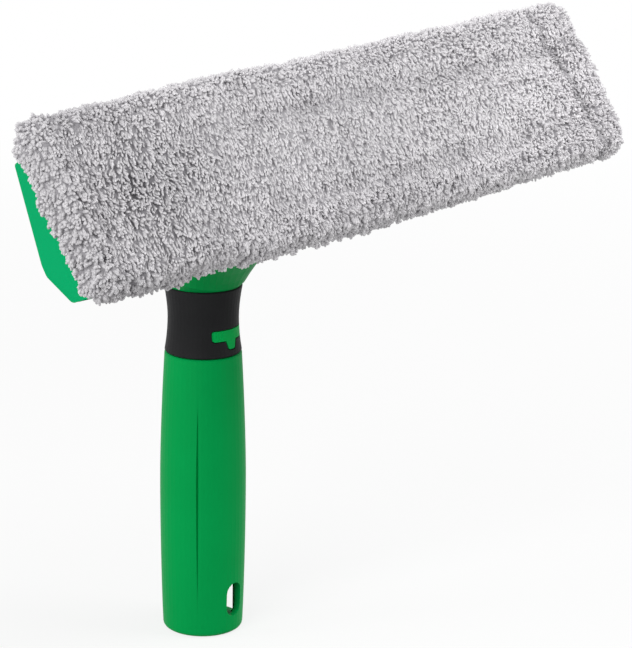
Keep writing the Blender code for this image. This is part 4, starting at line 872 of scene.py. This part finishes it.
def grow_pile(skin_mesh, random):
    """Vertices and tones of all tufts, in order along the pad."""
    points, normals = scatter(skin_mesh, TUFT_SPACING, random)
    kept = random.random(len(points)) > OPEN_THINNING * opening(points[:, 0], points[:, 2])
    points, normals = points[kept], normals[kept]
    lock_points = scatter(skin_mesh, LOCK_SPACING, random)[0]
    lead, curl, length, own_tone = groom(points, normals, lock_points, random)
    verts = tuft_verts(points, normals, lead, curl, length, random)
    clear = np.flatnonzero(clear_of_plate(verts))
    order = clear[np.argsort(points[clear, 0])]
    return verts[order], tuft_tones(points[order], own_tone[order])


def tuft_faces(count):
    """Side faces and end faces of so many tufts, as indices of their vertices."""
    rings, sides = len(TUFT_RINGS), TUFT_SIDES
    one = []
    for low in range(0, (rings - 1) * sides, sides):
        for step in range(sides):
            after = (step + 1) % sides
            one.append((low + step, low + after, low + sides + after, low + sides + step))
    size = rings * sides
    base = (np.arange(count) * size)[:, None]
    quads = (np.array(one)[None] + base[:, :, None]).reshape(-1, 4)
    tips = np.arange(size - sides, size)[None] + base
    roots = np.arange(sides)[::-1][None] + base
    return quads, np.concatenate((tips, roots))


def pile_mesh(name, verts, tones):
    """One mesh from the vertices of many tufts."""
    quads, ends = tuft_faces(len(verts))
    loops = np.concatenate((quads.reshape(-1), ends.reshape(-1)))
    sizes = np.repeat((4, TUFT_SIDES), (len(quads), len(ends)))
    starts = np.cumsum(sizes) - sizes
    mesh = bpy.data.meshes.new(name)
    mesh.vertices.add(verts.size // 3)
    mesh.vertices.foreach_set("co", verts.reshape(-1).astype(np.float32))
    mesh.loops.add(len(loops))
    mesh.loops.foreach_set("vertex_index", loops.astype(np.int32))
    mesh.polygons.add(len(starts))
    mesh.polygons.foreach_set("loop_start", starts.astype(np.int32))
    mesh.update(calc_edges=True)
    mesh.validate()
    set_tones(mesh, tones)
    mesh.shade_smooth()
    return mesh


def new_object(name, data):
    item = bpy.data.objects.new(name, data)
    bpy.context.scene.collection.objects.link(item)
    return item


def place_on_pad(mesh, finish):
    """An object from a mesh in the head's frame, which rides the pad."""
    mesh.materials.append(finish)
    mesh.transform(HEAD)
    item = new_object(mesh.name, mesh)
    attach(item, "pad")
    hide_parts("scrubber_pad")


def add_pad():
    """The pad's skin, and its pile in pieces along it."""
    random = np.random.default_rng(SEED)
    skin_mesh = pad_skin(random)
    verts, tones = grow_pile(skin_mesh, random)
    place_on_pad(skin_mesh, SKIN_PAINTED_SHADE_FINISH)
    pieces = zip(np.array_split(verts, PILE_PIECES), np.array_split(tones, PILE_PIECES))
    for index, (piece_verts, piece_tones) in enumerate(pieces):
        mesh = pile_mesh(f"scrubber_pad_pile_{index + 1}", piece_verts, piece_tones)
        place_on_pad(mesh, FINISHES["microfibre_grey"])


add_pad()


# Stage

def seen_directly(tree):
    """1 where the camera sees a surface, straight, in a reflection or through a clear piece, else 0."""
    paths = node(tree, "ShaderNodeLightPath")
    seen = maths(tree, "MAXIMUM", paths.outputs["Is Camera Ray"], paths.outputs["Is Glossy Ray"])
    return maths(tree, "MAXIMUM", seen, paths.outputs["Is Transmission Ray"])


def floor_material():
    """Pale floor that shows the shadow, fades to white far from the object and throws little light up."""
    made, tree, shader = new_material("floor_pale")
    seen = seen_directly(tree)
    set_inputs(shader, {"Roughness": 0.9})
    tone = mix_colour(tree, seen, opaque(FLOOR_BOUNCE), opaque(FLOOR_TONE))
    feed(tree, shader.inputs["Base Color"], tone)
    away = node(tree, "ShaderNodeVectorMath", operation="LENGTH")
    feed(tree, away.inputs[0], object_place(tree))
    share = maths(tree, "MULTIPLY", seen, ramp(tree, away.outputs["Value"], FLOOR_GLOW, 1.0, *FLOOR_FADE))
    glow = node(tree, "ShaderNodeEmission", {"Strength": 1.0})
    mix = node(tree, "ShaderNodeMixShader", {"Fac": share})
    feed(tree, mix.inputs[1], shader.outputs[0])
    feed(tree, mix.inputs[2], glow.outputs[0])
    feed(tree, tree.nodes["Material Output"].inputs["Surface"], mix.outputs[0])
    return made


def add_floor():
    """A wide floor just under the foot, for the picture only."""
    mesh = bpy.data.meshes.new("floor")
    corners = [(x * FLOOR_REACH, y * FLOOR_REACH, 0.0) for x, y in ((-1, -1), (1, -1), (1, 1), (-1, 1))]
    mesh.from_pydata(corners, [], [(0, 1, 2, 3)])
    mesh.materials.append(floor_material())
    floor = new_object("floor", mesh)
    floor.location.z = -FLOOR_DROP


def add_world():
    """White all round, weaker as light than as it is seen."""
    world = bpy.data.worlds.new("studio")
    bpy.context.scene.world = world
    world.use_nodes = True
    tree = world.node_tree
    background = tree.nodes["Background"]
    feed(tree, background.inputs["Color"], opaque((1.0, 1.0, 1.0)))
    strength = ramp(tree, seen_directly(tree), WORLD_LIGHT, WORLD_SEEN, start=0.0, end=1.0)
    feed(tree, background.inputs["Strength"], strength)


def add_lamp(name, place, target, size, power):
    data = bpy.data.lights.new(name, "AREA")
    data.shape = "RECTANGLE"
    data.size, data.size_y = size
    data.energy = power
    item = new_object(name, data)
    item.visible_camera = False
    item.location = place
    item.rotation_euler = (Vector(target) - Vector(place)).to_track_quat("-Z", "Y").to_euler()


def add_camera():
    """The photograph's camera: turned round the object, raised, rolled and shifted."""
    level = math.cos(CAMERA_RISE)
    back = Vector((-math.sin(CAMERA_TURN) * level, -math.cos(CAMERA_TURN) * level, math.sin(CAMERA_RISE)))
    right = Vector((math.cos(CAMERA_TURN), -math.sin(CAMERA_TURN), 0.0))
    up = right.cross(-back)
    tilted_right = math.cos(CAMERA_ROLL) * right + math.sin(CAMERA_ROLL) * up
    tilted_up = -math.sin(CAMERA_ROLL) * right + math.cos(CAMERA_ROLL) * up
    matrix = Matrix((tilted_right, tilted_up, back)).transposed().to_4x4()
    aim = Vector((0.0, 0.0, CAMERA_HEIGHT))
    shift = tilted_right * CAMERA_ACROSS
    matrix.translation = aim + back * CAMERA_DISTANCE + shift + tilted_up * CAMERA_UPWARD
    data = bpy.data.cameras.new("camera")
    data.sensor_width = SENSOR
    data.lens = FOCAL_LENGTH / PHOTO_HEIGHT * SENSOR
    item = new_object("camera", data)
    item.matrix_world = matrix
    bpy.context.scene.camera = item


add_floor()
add_world()
for lamp in LAMPS:
    add_lamp(*lamp)
add_camera()
bpy.context.scene.view_settings.view_transform = "Standard"
